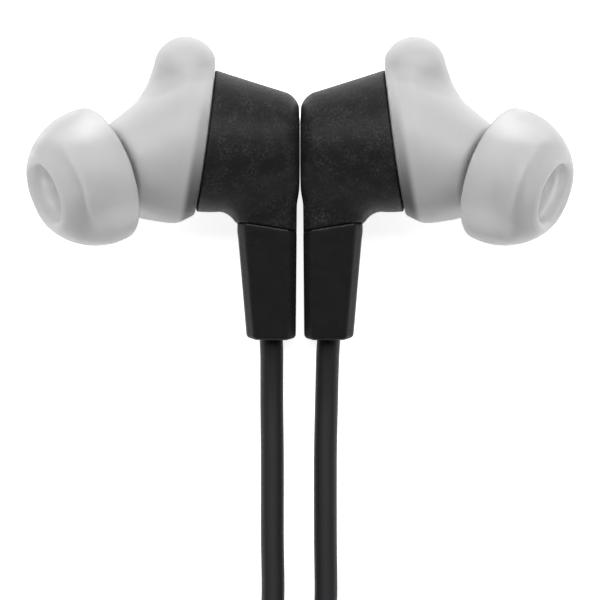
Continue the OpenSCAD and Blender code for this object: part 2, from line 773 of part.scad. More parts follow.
module cable_ties() {
    // The half turn of a climb bulges by an eighth of the pitch
    bulge = 1 / 8;
    branch_in = branch_coil_r - branch_pitch * (branch_turns + bulge) - branch_d / 2;
    branch_out = branch_coil_r + branch_d / 2;
    main_in = main_coil_r - main_pitch * (main_turns + bulge) - main_d / 2;
    main_out = main_coil_r + main_pitch * bulge + main_d / 2;
    color("#3a3a3a") {
        for (angle = [60, 300])
            tie(branch_coil_at, angle, branch_in, branch_out, 3 * branch_layer + branch_d);
        for (angle = [90, 270]) tie(main_coil_at, angle, main_in, main_out, 3 * main_layer + main_d);
    }
}

// Splitter: two half shells round a crimp that joins the three cords

module splitter_form() {
    z_at = splitter_t / 2 - splitter_round;
    hull() for (e = [[0, splitter_w], [splitter_len, splitter_end_w]]) for (x = [-1, 1]) for (z = [-1, 1])
        translate(splitter_at + [x * (e[1] / 2 - splitter_round), -e[0], z * z_at])
            rotate([e[0] > 0 ? -90 : 90, 0, 0]) cylinder(h = slice, r = splitter_round, $fn = hull_fn);
}

module splitter_bores(g) {
    for (x = [-entry_gap, entry_gap]) translate(splitter_at + [x, past, 0])
        rotate([90, 0, 0]) cylinder(h = splitter_len / 2 + past, r = branch_d / 2 + g);
    translate(splitter_at + [0, -splitter_len / 2, 0])
        rotate([90, 0, 0]) cylinder(h = splitter_len / 2 + past, r = main_d / 2 + g);
    room = [crimp_w, crimp_len, crimp_t] + 2 * [crimp_fit, crimp_fit, crimp_fit];
    translate(splitter_at + [0, -splitter_len / 2, 0] - room / 2) cube(room);
}

// Half of the splitter, above or below the middle
module splitter_half(side) {
    size = 2 * splitter_len;
    color(plastic_dark) difference() {
        splitter_form();
        splitter_bores(cord_fit);
        translate(splitter_at + [-size / 2, -size, side > 0 ? -size + seat_gap / 2 : -seat_gap / 2])
            cube([size, 2 * size, size]);
    }
}
module splitter_lower() { splitter_half(-1); }
module splitter_upper() { splitter_half(1); }

module splitter_crimp() {
    color(steel) {
        for (x = [-entry_gap, entry_gap]) translate(splitter_at + [x, 0, 0])
            rotate([90, 0, 0]) cylinder(h = splitter_len / 2, r = branch_d / 2);
        translate(splitter_at + [0, -splitter_len / 2, 0])
            rotate([90, 0, 0]) cylinder(h = splitter_len / 2, r = main_d / 2);
        translate(splitter_at - [crimp_w, splitter_len + crimp_len, crimp_t] / 2)
            cube([crimp_w, crimp_len, crimp_t]);
    }
}

// Plug: contacts threaded on a core, in front of the grip. Distances along its axis
grip_at = relief_len;
collar_at = grip_at + grip_len;
sleeve_at = collar_at + collar_len;
rear_insulator_at = sleeve_at + sleeve_len;
ring_at = rear_insulator_at + insulator_len;
front_insulator_at = ring_at + ring_len;
tip_at = front_insulator_at + insulator_len;

module on_plug(z) {
    translate(plug_at) rotate([0, 0, -plug_turn]) rotate([-90, 0, 0]) translate([0, 0, z]) children();
}

// Tip contact with its groove and rounded point, and the core behind it
module plug_tip() {
    head_r = pin_r - 0.05;
    groove_at = [0.5, 0.7];
    head_at = [1.5, 1.8];
    point_r = 0.5;
    color(gold) on_plug(0) {
        translate([0, 0, collar_at]) cylinder(h = tip_at + plug_fit - collar_at, r = pin_core_r);
        translate([0, 0, tip_at + plug_fit]) rotate_extrude() polygon([
            [0, 0], [(pin_groove_r + head_r) / 2, 0],
            [pin_groove_r, groove_at[0]], [pin_groove_r, groove_at[1]],
            [head_r, head_at[0]], [head_r, head_at[1]],
            [point_r, tip_contact_len - point_r / 3],
            [point_r / 2, tip_contact_len], [0, tip_contact_len]
        ]);
    }
}

module plug_band(z, h, r) {
    on_plug(z + plug_fit / 2) ring(r, pin_core_r + plug_fit, h - plug_fit);
}
module plug_front_insulator() {
    color("#1c1c1c") plug_band(front_insulator_at, insulator_len, pin_r);
}
module plug_ring() {
    color(gold) plug_band(ring_at, ring_len, pin_r);
}
module plug_rear_insulator() {
    color("#1c1c1c") plug_band(rear_insulator_at, insulator_len, pin_r);
}
module plug_sleeve() {
    color(gold) {
        plug_band(sleeve_at, sleeve_len, pin_r);
        on_plug(collar_at + plug_fit) ring(collar_r, pin_core_r + plug_fit, collar_len);
    }
}

// Moulded grip with a rounded back and front edge
module plug_grip() {
    edge = 0.6;
    taper = 0.3;
    color(rubber_dark) on_plug(grip_at) rotate_extrude() polygon(concat(
        [[0, 0]],
        [for (a = [-90:15:0]) [grip_r - edge, edge] + edge * [cos(a), sin(a)]],
        [for (a = [0:15:90]) [grip_r - taper - edge, grip_len - edge] + edge * [cos(a), sin(a)]],
        [[0, grip_len]]
    ));
}

// Tapered relief with two grooves that let it bend
module plug_relief() {
    groove_w = 0.8;
    groove_r = relief_end_r - 0.1;
    color(rubber_dark) on_plug(0) difference() {
        cylinder(h = relief_len - plug_fit, r1 = relief_end_r, r2 = relief_r);
        for (share = [0.3, 0.6]) translate([0, 0, relief_len * share])
            ring(2 * relief_r, groove_r, groove_w);
    }
}

on_left() rear_shell();  // left_rear_shell
on_right() rear_shell();  // right_rear_shell
on_left() front_shell();  // left_front_shell
on_right() front_shell();  // right_front_shell
on_left() nozzle_screen();  // left_nozzle_screen
on_right() nozzle_screen();  // right_nozzle_screen
on_left() ear_gel();  // left_ear_gel
on_right() ear_gel();  // right_ear_gel
on_left() ear_tip();  // left_ear_tip
on_right() ear_tip();  // right_ear_tip
on_left() boot();  // left_boot
on_right() boot();  // right_boot
on_left() cable_stop();  // left_cable_stop
on_right() cable_stop();  // right_cable_stop
on_left() driver_basket();  // left_driver_basket
on_right() driver_basket();  // right_driver_basket
on_left() driver_gasket();  // left_driver_gasket
on_right() driver_gasket();  // right_driver_gasket
on_left() diaphragm();  // left_diaphragm
on_right() diaphragm();  // right_diaphragm
on_left() voice_coil();  // left_voice_coil
on_right() voice_coil();  // right_voice_coil
on_left() pole_plate();  // left_pole_plate
on_right() pole_plate();  // right_pole_plate
on_left() magnet();  // left_magnet
on_right() magnet();  // right_magnet
on_left() yoke();  // left_yoke
on_right() yoke();  // right_yoke
on_left() terminal_board();  // left_terminal_board
on_right() terminal_board();  // right_terminal_board
on_left() lead_wires();  // left_lead_wires
on_right() lead_wires();  // right_lead_wires
left_branch_run();
right_branch_run();
left_branch_coil();
right_branch_coil();
left_branch_tail();
right_branch_tail();
main_lead();
main_coil();
main_tail();
cable_ties();
splitter_lower();
splitter_upper();
splitter_crimp();
plug_tip();
plug_front_insulator();
plug_ring();
plug_rear_insulator();
plug_sleeve();
plug_grip();
plug_relief();
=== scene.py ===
"""Wired in-ear earphones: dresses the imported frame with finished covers, sleeves, tips and cords.

Everything inside one earpiece is built in the right earpiece's own frame, in millimetres: x runs
from the flat back to the ear tip, y away from the stem. Its placing matrix turns that into metres.
"""

import json
import math
from types import SimpleNamespace

import bmesh
import bpy
import numpy as np
import openvdb
from mathutils import Matrix, Vector


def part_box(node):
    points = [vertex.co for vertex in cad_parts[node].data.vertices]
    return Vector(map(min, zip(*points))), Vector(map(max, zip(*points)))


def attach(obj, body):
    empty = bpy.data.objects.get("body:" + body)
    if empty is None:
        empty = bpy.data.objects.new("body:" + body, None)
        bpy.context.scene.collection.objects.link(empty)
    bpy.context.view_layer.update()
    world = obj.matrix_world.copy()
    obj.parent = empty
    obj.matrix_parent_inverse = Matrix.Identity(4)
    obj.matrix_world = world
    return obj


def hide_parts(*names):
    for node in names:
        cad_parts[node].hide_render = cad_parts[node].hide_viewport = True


bl_info = {
    "name": "Wired earphones",
    "version": (1, 0, 0),
    "blender": (4, 5, 0),
    "location": "3D View > Sidebar > Earphones",
    "description": "Builds the finished pieces of a pair of wired in-ear earphones",
    "category": "Object",
}

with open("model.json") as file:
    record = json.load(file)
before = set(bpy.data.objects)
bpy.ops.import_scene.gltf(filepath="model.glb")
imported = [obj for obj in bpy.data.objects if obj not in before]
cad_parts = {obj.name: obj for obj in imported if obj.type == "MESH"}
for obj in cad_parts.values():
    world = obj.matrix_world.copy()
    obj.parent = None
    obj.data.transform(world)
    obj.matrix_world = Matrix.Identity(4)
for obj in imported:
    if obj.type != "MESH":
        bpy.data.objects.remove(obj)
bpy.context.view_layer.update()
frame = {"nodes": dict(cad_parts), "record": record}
MM = 0.001
PREFIX = "earphone_"
CABLE_SET = "cable_set"
SIDES = ("left", "right")


# Properties


def linear(hex_value):
    """Linear RGBA of an sRGB hex value."""
    parts = [((hex_value >> shift) & 255) / 255 for shift in (16, 8, 0)]
    return tuple(c / 12.92 if c <= 0.04045 else ((c + 0.055) / 1.055) ** 2.4 for c in parts) + (1.0,)


def length(name, mm, about):
    """A length property whose default is given in millimetres."""
    return bpy.props.FloatProperty(
        name=name, description=about, default=mm * MM, unit="LENGTH", precision=5
    )


def angle(name, degrees, about):
    """An angle property whose default is given in degrees."""
    return bpy.props.FloatProperty(
        name=name, description=about, default=math.radians(degrees), subtype="ANGLE", unit="ROTATION"
    )


def colour(name, hex_value, about):
    """A colour property whose default is an sRGB hex value."""
    return bpy.props.FloatVectorProperty(
        name=name, description=about, default=linear(hex_value), size=4, min=0, max=1, subtype="COLOR"
    )


class PairSizes(bpy.types.PropertyGroup):
    """How the two earpieces lie."""

    gap: length("Half gap", 0.12, "Half of the gap between the flat backs")
    splay: angle("Splay", 0.5, "Turn that parts the boots")
    roll: angle("Roll", 17, "Roll that lays the boots on the surface")
    axis_y: length("Axis offset", 4.4, "Driver's axis above the pair's middle")
    rest_height: length("Rest height", 7.5, "Driver's axis over the surface")


class HousingSizes(bpy.types.PropertyGroup):
    """Rear shell: a cone with a flat back, and the stem that runs down from it."""

    radius: length("Front radius", 6.4, "Radius at the front edge")
    depth: length("Depth", 8.45, "From the flat back to the front edge's middle")
    back_radius: length("Back radius", 4.45, "Radius at the back end")
    back_round: length("Back rounding", 1.3, "Rounding of the back edge")
    back_meet: length("Back clearance", 0.02, "Half of the gap where the backs meet")
    cant: angle("Front cant", 7.5, "How far the front edge leans back at its top")
    belly: length("Belly", 0.75, "Swelling that brings the underside level")
    stem_w: length("Stem width", 5.3, "Width at the seam")
    stem_t: length("Stem thickness", 4.9, "Thickness at the seam")
    stem_len: length("Stem length", 8.5, "From the driver's axis to the boot")
    stem_inset: length("Stem inset", 0.1, "Stem's back in front of the flat back")
    seam: length("Seam", 7.66, "From the driver's axis to the seam's upper back corner")
    seam_rise: angle("Seam rise", 8.5, "Rise away from the back")
    seam_tilt: angle("Seam tilt", 24, "Rise towards the upper side")
    seam_round: length("Seam rounding", 0.13, "Rounding of both edges at the seam")
    fillet: length("Stem fillet", 2.2, "Hollow between the stem and the barrel")
    fillet_back: length("Back fillet", 1.9, "That hollow near the flat back")
    bevel: length("Stem bevel", 0.75, "Bevel along the stem's long edges")
    bore_radius: length("Driver bore", 4.56, "Radius of the driver's bore")
    bore_depth: length("Bore depth", 4.4, "Depth of that bore behind the front edge")
    back_wall: length("Back wall", 0.95, "Wall at the flat back")
    edge_wall: length("Edge wall", 1.2, "Wall at the round back edge")
    bore_step: length("Bore step", 0.25, "Step behind the driver's bore")
    spigot_bore: length("Spigot bore", 5.45, "Radius of the bore for the spigot")
    spigot_len: length("Spigot length", 1.2, "Length of the front shell's spigot")
    tint: colour("Plastic", 0x19191A, "Moulded plastic")
    tint_worn: colour("Plastic grain", 0x343435, "Raised grain of the texture")


class NozzleSizes(bpy.types.PropertyGroup):
    """Front shell: flange, cheek and sound nozzle."""

    lift: angle("Lift", 28, "Turn of the nozzle away from the surface")
    drop: angle("Drop", 13, "Turn of the nozzle towards the stem")
    rise: length("Rise", 0.4, "Nozzle's axis over the driver's at the front edge")
    base: length("Base", 8, "Base along the nozzle's axis")
    end: length("End", 14.2, "Open end along the nozzle's axis")
    radius: length("Radius", 2.5, "Outer radius")
    bore: length("Bore", 1.95, "Radius of the sound bore")
    barb_radius: length("Barb radius", 2.7, "Radius of the barb that holds the tip")
    barb_len: length("Barb length", 1.2, "Length of the barb")
    barb_back: length("Barb setback", 0.4, "Barb behind the open end")
    neck_radius: length("Neck radius", 3, "Front shell where the nozzle starts")
    flange_radius: length("Flange radius", 5.9, "Front shell at the housing's edge")
    chin_out: length("Cheek reach", 4.75, "Cheek in front of the front edge")
    chin_drop: length("Cheek drop", 2.9, "Cheek below the driver's axis")
    chin_lift: length("Cheek lift", 0.4, "Cheek above the earpiece's middle plane")
    chin_radius: length("Cheek radius", 2.7, "Front shell at the cheek")
    wall: length("Wall", 0.95, "Wall of the front shell")
    screen_seat: length("Screen seat", 0.3, "Depth of the screen's seat")
    screen_pitch: length("Screen pitch", 0.2, "Distance between the screen's wires")
    screen_wire: length("Screen wire", 0.08, "Thickness of a wire")
    tint: colour("Plastic", 0xB9B9BB, "Pale plastic under the gel")
    # painted shade: a dark tube that deepens the shade inside the tip's mouth
    tube_shade_tint: colour("Tube", 0x2C2C2D, "Dark tube inside the tip")
    steel: colour("Screen steel", 0xC6C8CB, "Steel of the screen")


class GelSizes(bpy.types.PropertyGroup):
    """Silicone sleeve over the front shell, with a lobe that rests in the ear."""

    radius: length("Radius", 7.5, "Largest radius")
    back_radius: length("Back radius", 6.75, "Radius where it meets the housing")
    chamfer: length("Chamfer", 1.0, "Width of the bevelled band at the back edge")
    chamfer_rise: length("Chamfer rise", 0.68, "Rise of the band over its width")
    rim: length("Rim", 2.4, "From the back edge to the largest radius")
    wall: length("Wall", 1.2, "Thickness over the front shell")
    neck_wall: length("Neck wall", 0.7, "Thickness round the nozzle's base")
    sag: length("Sag", 0.35, "How much thicker it is below, towards the stem")
    fit: length("Clearance", 0.1, "Clearance over the shells")
    neck_len: length("Neck length", 0.9, "Neck in front of the nozzle's base")
    lobe_radius: length("Lobe radius", 2.85, "Radius of the ear lobe")
    lobe_h: length("Lobe height", 6.8, "Lobe's middle over the driver's axis")
    lobe_out: length("Lobe reach", 10.25, "Lobe's middle from the flat back")
    root_h: length("Root height", 2.27, "Lobe's root over the driver's axis")
    root_out: length("Root reach", 10.75, "Lobe's root from the flat back")
    root_radius: length("Root radius", 3.75, "Radius of the lobe's root")
    blend: length("Blend", 0.9, "Hollow between the lobe and the sleeve")
    tint: colour("Silicone", 0xCBCBCC, "Frosted silicone of the sleeve")


class TipSizes(bpy.types.PropertyGroup):
    """Silicone ear tip: a dome that folds back over a core."""

    radius: length("Radius", 6.25, "Radius of the dome")
    middle: length("Middle", 11.4, "Dome's middle along the nozzle's axis")
    front: length("Front", 5.2, "From the middle to the mouth")
    back: length("Back", 0.9, "From the middle back to the rim")
    wall: length("Wall", 0.7, "Wall of the dome")
    core_bore: length("Core bore", 2.75, "Radius of the core's bore")
    core_wall: length("Core wall", 0.75, "Wall of the core")
    core_back: length("Core back", -2.05, "Core's back end, from the middle")
    lip: length("Lip", 0.45, "Rounding round the mouth")
    root: length("Dome root", 2.2, "From the mouth to where dome and core meet")
    tint: colour("Silicone", 0xDFDFDF, "Frosted silicone of the tip")


class BootSizes(bpy.types.PropertyGroup):
    """Rubber boot below the seam."""

    length: length("Length", 9.7, "Length below the seam")
    end_w: length("End width", 4.45, "Width at the lower end")
    end_t: length("End thickness", 4.4, "Thickness at the lower end")
    round: length("Rounding", 0.4, "Rounding of the lower end")
    lip: length("Lip", 0.07, "How far it stands proud below the seam")
    tenon_len: length("Tenon length", 2.6, "Length of the tenon inside the stem")
    tenon_w: length("Tenon width", 3.3, "Width of the tenon")
    tenon_t: length("Tenon thickness", 2.9, "Thickness of the tenon")
    bore: length("Bore", 1.1, "Radius of the cord's bore")
    tint: colour("Rubber", 0x131314, "Smooth moulded rubber")


class CordSizes(bpy.types.PropertyGroup):
    """Cords, from the boots over the coils and the splitter to the plug."""

    branch_d: length("Branch diameter", 2.1, "Diameter of a branch cord")
    main_d: length("Main diameter", 2.4, "Diameter of the main cord")
    branch_coil_radius: length("Branch coil radius", 13.5, "Outermost turn of the branch coil")
    branch_pitch: length("Branch pitch", 2.7, "Distance between its turns")
    branch_layer: length("Branch layer", 2.6, "Distance between its layers")
    main_coil_radius: length("Main coil radius", 16, "Outermost turn of the main coil")
    main_pitch: length("Main pitch", 2.95, "Distance between its turns")
    main_layer: length("Main layer", 2.9, "Distance between its layers")
    tie_t: length("Tie thickness", 0.4, "Thickness of a tie")
    tie_w: length("Tie width", 3, "Width of a tie")
    tie_gap: length("Tie gap", 0.1, "Clearance between a tie and the turns")
    tint: colour("Jacket", 0x18181A, "Extruded jacket of the cords")
    tie_tint: colour("Tie", 0x3A3A3B, "Rubber of the ties")


class SplitterSizes(bpy.types.PropertyGroup):
    """Splitter where the two branches join."""

    length: length("Length", 12, "Length along the cords")
    width: length("Width", 7.6, "Width where the branches enter")
    end_width: length("End width", 5, "Width where the main cord leaves")
    thickness: length("Thickness", 5, "Thickness of both halves")
    round: length("Rounding", 1.1, "Rounding of the long edges")
    entry: length("Entry offset", 1.3, "Distance of each branch from the middle")
    groove: length("Groove", 0.18, "Depth of the groove between the halves")


class PlugSizes(bpy.types.PropertyGroup):
    """Three-contact plug with a moulded grip."""

    turn: angle("Turn", 9, "Turn of the plug on the surface")
    pin: length("Pin radius", 1.75, "Radius of the contacts")
    core: length("Core radius", 0.9, "Core that carries the contacts")
    sleeve: length("Sleeve", 7.4, "Length of the sleeve contact")
    ring: length("Ring", 2, "Length of the ring contact")
    insulator: length("Insulator", 0.6, "Length of an insulating ring")
    tip: length("Tip", 3.4, "Length of the tip contact")
    groove: length("Groove radius", 1.2, "Groove behind the tip")
    grip_radius: length("Grip radius", 3.6, "Radius of the grip")
    grip_len: length("Grip length", 13, "Length of the grip")
    collar_radius: length("Collar radius", 2.6, "Radius of the collar")
    collar_len: length("Collar length", 1.2, "Length of the collar")
    relief_len: length("Relief length", 8.5, "Length of the bending relief")
    relief_radius: length("Relief radius", 2.4, "Relief at the grip")
    relief_end: length("Relief end", 1.6, "Relief at the cord")
    fit: length("Clearance", 0.03, "Clearance between the contacts")
    gold: colour("Gold", 0xE0BE78, "Plating of the contacts")


class StageSizes(bpy.types.PropertyGroup):
    """Camera, floor and lights."""

    picture: length("Picture width", 53.96, "Width of the picture at the focus height")
    look_y: length("Look at", -9.9, "Place that the camera looks at")
    focus_height: length("Focus height", 10, "Where the picture has its width")
    distance: length("Distance", 1500, "From the camera to the focus height")
    floor: length("Floor", 3000, "Side of the floor")
    floor_tint: colour("Floor", 0xF6F6F6, "Pale floor")
    floor_glow: bpy.props.FloatProperty(name="Glow", description="Light through the floor", default=0.85)
    key_power: bpy.props.FloatProperty(name="Key light", description="Power in watts", default=12)
    fill: bpy.props.FloatProperty(name="Fill", description="Strength of the world's light", default=0.1)


GROUPS = {
    "pair": PairSizes,
    "housing": HousingSizes,
    "nozzle": NozzleSizes,
    "gel": GelSizes,
    "tip": TipSizes,
    "boot": BootSizes,
    "cord": CordSizes,
    "splitter": SplitterSizes,
    "plug": PlugSizes,
    "stage": StageSizes,
}


def sizes(context):
    """The values of every property group by its name, with lengths in millimetres."""
    found = {}
    for name in GROUPS:
        group = getattr(context.scene, PREFIX + name)
        values = {}
        for key, prop in group.bl_rna.properties.items():
            if key not in ("rna_type", "name"):
                value = getattr(group, key)
                values[key] = value / MM if prop.unit == "LENGTH" else value
        found[name] = SimpleNamespace(**values)
    return SimpleNamespace(**found)


# Frames, in millimetres inside the right earpiece


def earpiece_placing(s, side):
    """Matrix from an earpiece's own frame in millimetres to its place in metres."""
    right = (
        Matrix.Scale(MM, 4)
        @ Matrix.Translation((s.pair.gap, s.pair.axis_y, s.pair.rest_height))
        @ Matrix.Rotation(s.pair.splay, 4, "Z")
        @ Matrix.Rotation(s.pair.roll, 4, "X")
    )
    return right if side == "right" else Matrix.Scale(-1, 4, (1, 0, 0)) @ right


def driver_frame(s):
    """Frame whose z axis is the driver's axis, forwards from the housing's front edge."""
    turn = Matrix.Rotation(s.housing.cant, 4, "Z") @ Matrix.Rotation(math.pi / 2, 4, "Y")
    return Matrix.Translation((s.housing.depth, 0, 0)) @ turn


def nozzle_frame(s):
    """Frame whose z axis is the nozzle's axis, outwards."""
    n = s.nozzle
    turn = Matrix.Rotation(-n.drop, 4, "Z") @ Matrix.Rotation(math.pi / 2 - n.lift, 4, "Y")
    return Matrix.Translation((s.housing.depth, n.rise, 0)) @ turn


def along(matrix, points):
    """How far each point lies along a frame's z axis."""
    turn = np.array(matrix.inverted())
    return points @ turn[2, :3] + turn[2, 3]


def stem_axis(s):
    """Place of the cord's axis across the stem."""
    return s.housing.stem_inset + s.boot.end_w / 2


# Meshes


def show(name, data):
    """A new object in the scene."""
    made = bpy.data.objects.new(name, data)
    bpy.context.scene.collection.objects.link(made)
    return made


def add_piece(name, points, faces, placing=Matrix(), sharp=None):
    """A closed smooth mesh whose faces point outwards, placed by a matrix in its own mesh."""
    mesh = bpy.data.meshes.new(name)
    mesh.from_pydata([tuple(p) for p in points], [], [tuple(f) for f in faces])
    mesh.transform(placing)
    work = bmesh.new()
    work.from_mesh(mesh)
    bmesh.ops.recalc_face_normals(work, faces=work.faces)
    if work.calc_volume(signed=True) < 0:
        bmesh.ops.reverse_faces(work, faces=work.faces)
    work.to_mesh(mesh)
    work.free()
    mesh.shade_smooth()
    if sharp is not None:
        mesh.set_sharp_from_angle(angle=sharp)
    return show(name, mesh)


def close_poles(piece):
    """Closes the ends of a turned mesh where its profile meets the axis."""
    work = bmesh.new()
    work.from_mesh(piece.data)
    bmesh.ops.remove_doubles(work, verts=work.verts, dist=0.0005 * MM)
    bmesh.ops.recalc_face_normals(work, faces=work.faces)
    work.to_mesh(piece.data)
    work.free()


def dress(piece, slot, body, *nodes, finish=None):
    """Gives a finished piece the material of its slot and its body, and hides the nodes that it stands
    for.
    """
    piece.data.materials.clear()
    piece.data.materials.append(finishes()[finish or slot])
    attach(piece, body)
    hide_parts(*nodes)


def build_pair(s, name, mesh, node, slot, body=None, inner=Matrix(), painted_shade=None, finish=None):
    """The same piece in both earpieces, from one mesh in the right earpiece's frame."""
    for side in SIDES:
        piece = add_piece(f"{side}_{name}", *mesh, earpiece_placing(s, side) @ inner)
        # painted shade, stored per point, by which the material darkens the colour
        if painted_shade is not None:
            layer = piece.data.attributes.new("painted_shade", "FLOAT", "POINT")
            layer.data.foreach_set("value", np.clip(painted_shade, 0, 1).astype(np.float32))
        dress(piece, slot, f"{side}_{body}" if body else CABLE_SET, f"{side}_{node}", finish=finish)
    return {"FINISHED"}


def ring_faces(rings, count, closed=True):
    """Faces between rings of points that follow each other, the last joined to the first if closed."""
    faces = []
    for i in range(rings if closed else rings - 1):
        a, b = i * count, (i + 1) % rings * count
        for k in range(count):
            j = (k + 1) % count
            faces.append((a + k, b + k, b + j, a + j))
    return faces


def turned(profile, steps):
    """Points and faces of a closed profile of (radius, height) turned about z."""
    turns = [2 * math.pi * k / steps for k in range(steps)]
    points = [(r * math.cos(a), r * math.sin(a), z) for a in turns for r, z in profile]
    return points, ring_faces(steps, len(profile))


def arc(centre, radius, start, end, count):
    """Points of an arc in a profile; the angles are in degrees."""
    turns = [math.radians(start + (end - start) * k / count) for k in range(count + 1)]
    return [(centre[0] + radius * math.cos(a), centre[1] + radius * math.sin(a)) for a in turns]


def rounded_profile(corners, radii, count):
    """A closed profile through corners, each rounded by its own radius."""
    found = []
    for i, radius in enumerate(radii):
        p = Vector(corners[i])
        before = (Vector(corners[i - 1]) - p).normalized()
        after = (Vector(corners[(i + 1) % len(corners)]) - p).normalized()
        reach = radius / math.tan(math.acos(max(-1, min(1, before.dot(after)))) / 2)
        a, b = p + before * reach, p + after * reach
        for k in range(count + 1 if radius else 1):
            t = k / count
            found.append(tuple((1 - t) ** 2 * a + 2 * t * (1 - t) * p + t**2 * b))
    return found


# Distance fields: negative inside, in millimetres


class Cells:
    """A regular grid of points, a little larger than its piece, on which a field is worked out."""

    def __init__(self, low, high, step):
        self.low, self.step = np.array(low, float), step
        axes = [np.arange(a, b + step, step) for a, b in zip(low, high)]
        self.places = np.stack(np.meshgrid(*axes, indexing="ij"), axis=-1)
        self.axes = np.moveaxis(self.places, -1, 0)

    def seen_from(self, matrix):
        """The points' coordinates in another frame."""
        m = np.array(matrix.inverted())
        return np.moveaxis(self.places @ m[:3, :3].T + m[:3, 3], -1, 0)

    def surface(self, field):
        """Points and four-sided faces of the field's zero surface."""
        grid = openvdb.FloatGrid(background=float(field.max()))
        grid.copyFromArray(field.astype(np.float32))
        points, quads = grid.convertToQuads(0.0)
        return self.low + points * self.step, quads


def both(*fields):
    """Where all the fields are filled."""
    return np.maximum.reduce(fields)


def either(*fields):
    """Where any of the fields is filled."""
    return np.minimum.reduce(fields)


def meet(a, b, radius):
    """Intersection of two fields with a rounded edge."""
    u, v = np.maximum(a + radius, 0), np.maximum(b + radius, 0)
    return np.minimum(np.maximum(a, b), -radius) + np.hypot(u, v)


def merge(a, b, radius):
    """Union of two fields with a hollow fillet; the radius may differ from point to point."""
    u, v = np.maximum(radius - a, 0), np.maximum(radius - b, 0)
    return np.maximum(np.minimum(a, b), radius) - np.hypot(u, v)


def ramp(value, low, high):
    """0 below low, 1 above high, smooth between."""
    t = np.clip((value - low) / (high - low), 0, 1)
    return t * t * (3 - 2 * t)


def round_bar(axes, radius, low, high):
    """Field of a bar along the third of three axes."""
    x, y, z = axes
    return both(np.hypot(x, y) - radius, low - z, z - high)


def ball_bar(cells, a, b, radius_a, radius_b):
    """Field of two balls with a straight taper between them."""
    d = np.array(b, float) - a
    p = cells.places - a
    t = np.clip(p @ d / (d @ d), 0, 1)
    return np.linalg.norm(p - t[..., None] * d, axis=-1) - (radius_a + (radius_b - radius_a) * t)


def ring_points(matrix, height, radius, count=72):
    """Points of a circle round a frame's z axis."""
    turns = [2 * math.pi * k / count for k in range(count)]
    return [matrix @ Vector((radius * math.cos(a), radius * math.sin(a), height)) for a in turns]


def ball_points(centre, radius, count=36):
    """Points of a ball."""
    found = []
    for i in range(1, count // 2):
        up = math.pi * i / (count // 2) - math.pi / 2
        level = Matrix.Translation(Vector(centre) + Vector((0, 0, radius * math.sin(up))))
        found += ring_points(level, 0, radius * math.cos(up), count)
    return found


def hull_field(cells, points):
    """Field of the convex hull of points: the largest distance over its face planes."""
    decimals, block = 2, 16384  # of a plane's direction; points worked out at a time
    work = bmesh.new()
    for p in points:
        work.verts.new(p)
    planes = {}
    for face in bmesh.ops.convex_hull(work, input=work.verts)["geom"]:
        if isinstance(face, bmesh.types.BMFace):
            face.normal_update()
            key = tuple(round(c, decimals) for c in face.normal)
            planes[key] = (*face.normal, -face.normal.dot(face.verts[0].co))
    middle = sum((v.co for v in work.verts), Vector()) / len(work.verts)
    work.free()
    table = np.array(list(planes.values()), np.float32)
    inside = table[:, :3] @ np.array(middle, np.float32) + table[:, 3]
    table[inside > 0] *= -1
    flat = cells.places.reshape(-1, 3).astype(np.float32)
    field = np.empty(len(flat), np.float32)
    for i in range(0, len(flat), block):
        field[i : i + block] = (flat[i : i + block] @ table[:, :3].T + table[:, 3]).max(1)
    return field.reshape(cells.places.shape[:3])


def softened(field, passes):
    """The field after a light blur, which rounds its edges."""
    for axis in [0, 1, 2] * passes:
        side = np.concatenate([field.take([0], axis), field, field.take([-1], axis)], axis)
        count = field.shape[axis]
        before, after = side.take(range(count), axis), side.take(range(2, count + 2), axis)
        field = (before + 2 * field + after) / 4
    return field


# Materials

SPAN = ("Value", "From Min", "From Max", "To Min", "To Max")  # the last two are 0 and 1 if left out


def add(tree, kind, inputs=None, **settings):
    """Adds a node with its settings. An input takes a value, a socket or a node's first output."""
    node = tree.nodes.new(kind)
    for key, value in settings.items():
        setattr(node, key, value)
    for key, value in (inputs or {}).items():
        if isinstance(value, bpy.types.Node):
            value = value.outputs[0]
        if isinstance(value, bpy.types.NodeSocket):
            tree.links.new(value, node.inputs[key])
        else:
            node.inputs[key].default_value = value
    return node


def new_material(name, settings):
    """A material with a Principled shader whose constants are set on its sockets."""
    material = bpy.data.materials.new(name)
    material.use_nodes = True
    tree = material.node_tree
    tree.nodes.clear()
    shader = add(tree, "ShaderNodeBsdfPrincipled", settings, name="shader")
    add(tree, "ShaderNodeOutputMaterial", {"Surface": shader})
    return material


def grain(material, mm, detail=2.0, rough=0.5):
    """Noise on object coordinates with features of a real size."""
    tree = material.node_tree
    place = add(tree, "ShaderNodeTexCoord").outputs["Object"]
    settings = {"Vector": place, "Scale": 1 / (mm * MM), "Detail": detail, "Roughness": rough}
    return add(tree, "ShaderNodeTexNoise", settings)


def shaded(value, share):
    """A colour made darker or lighter by a share, with its alpha kept."""
    return (*(min(1.0, c * share) for c in value[:3]), 1.0)


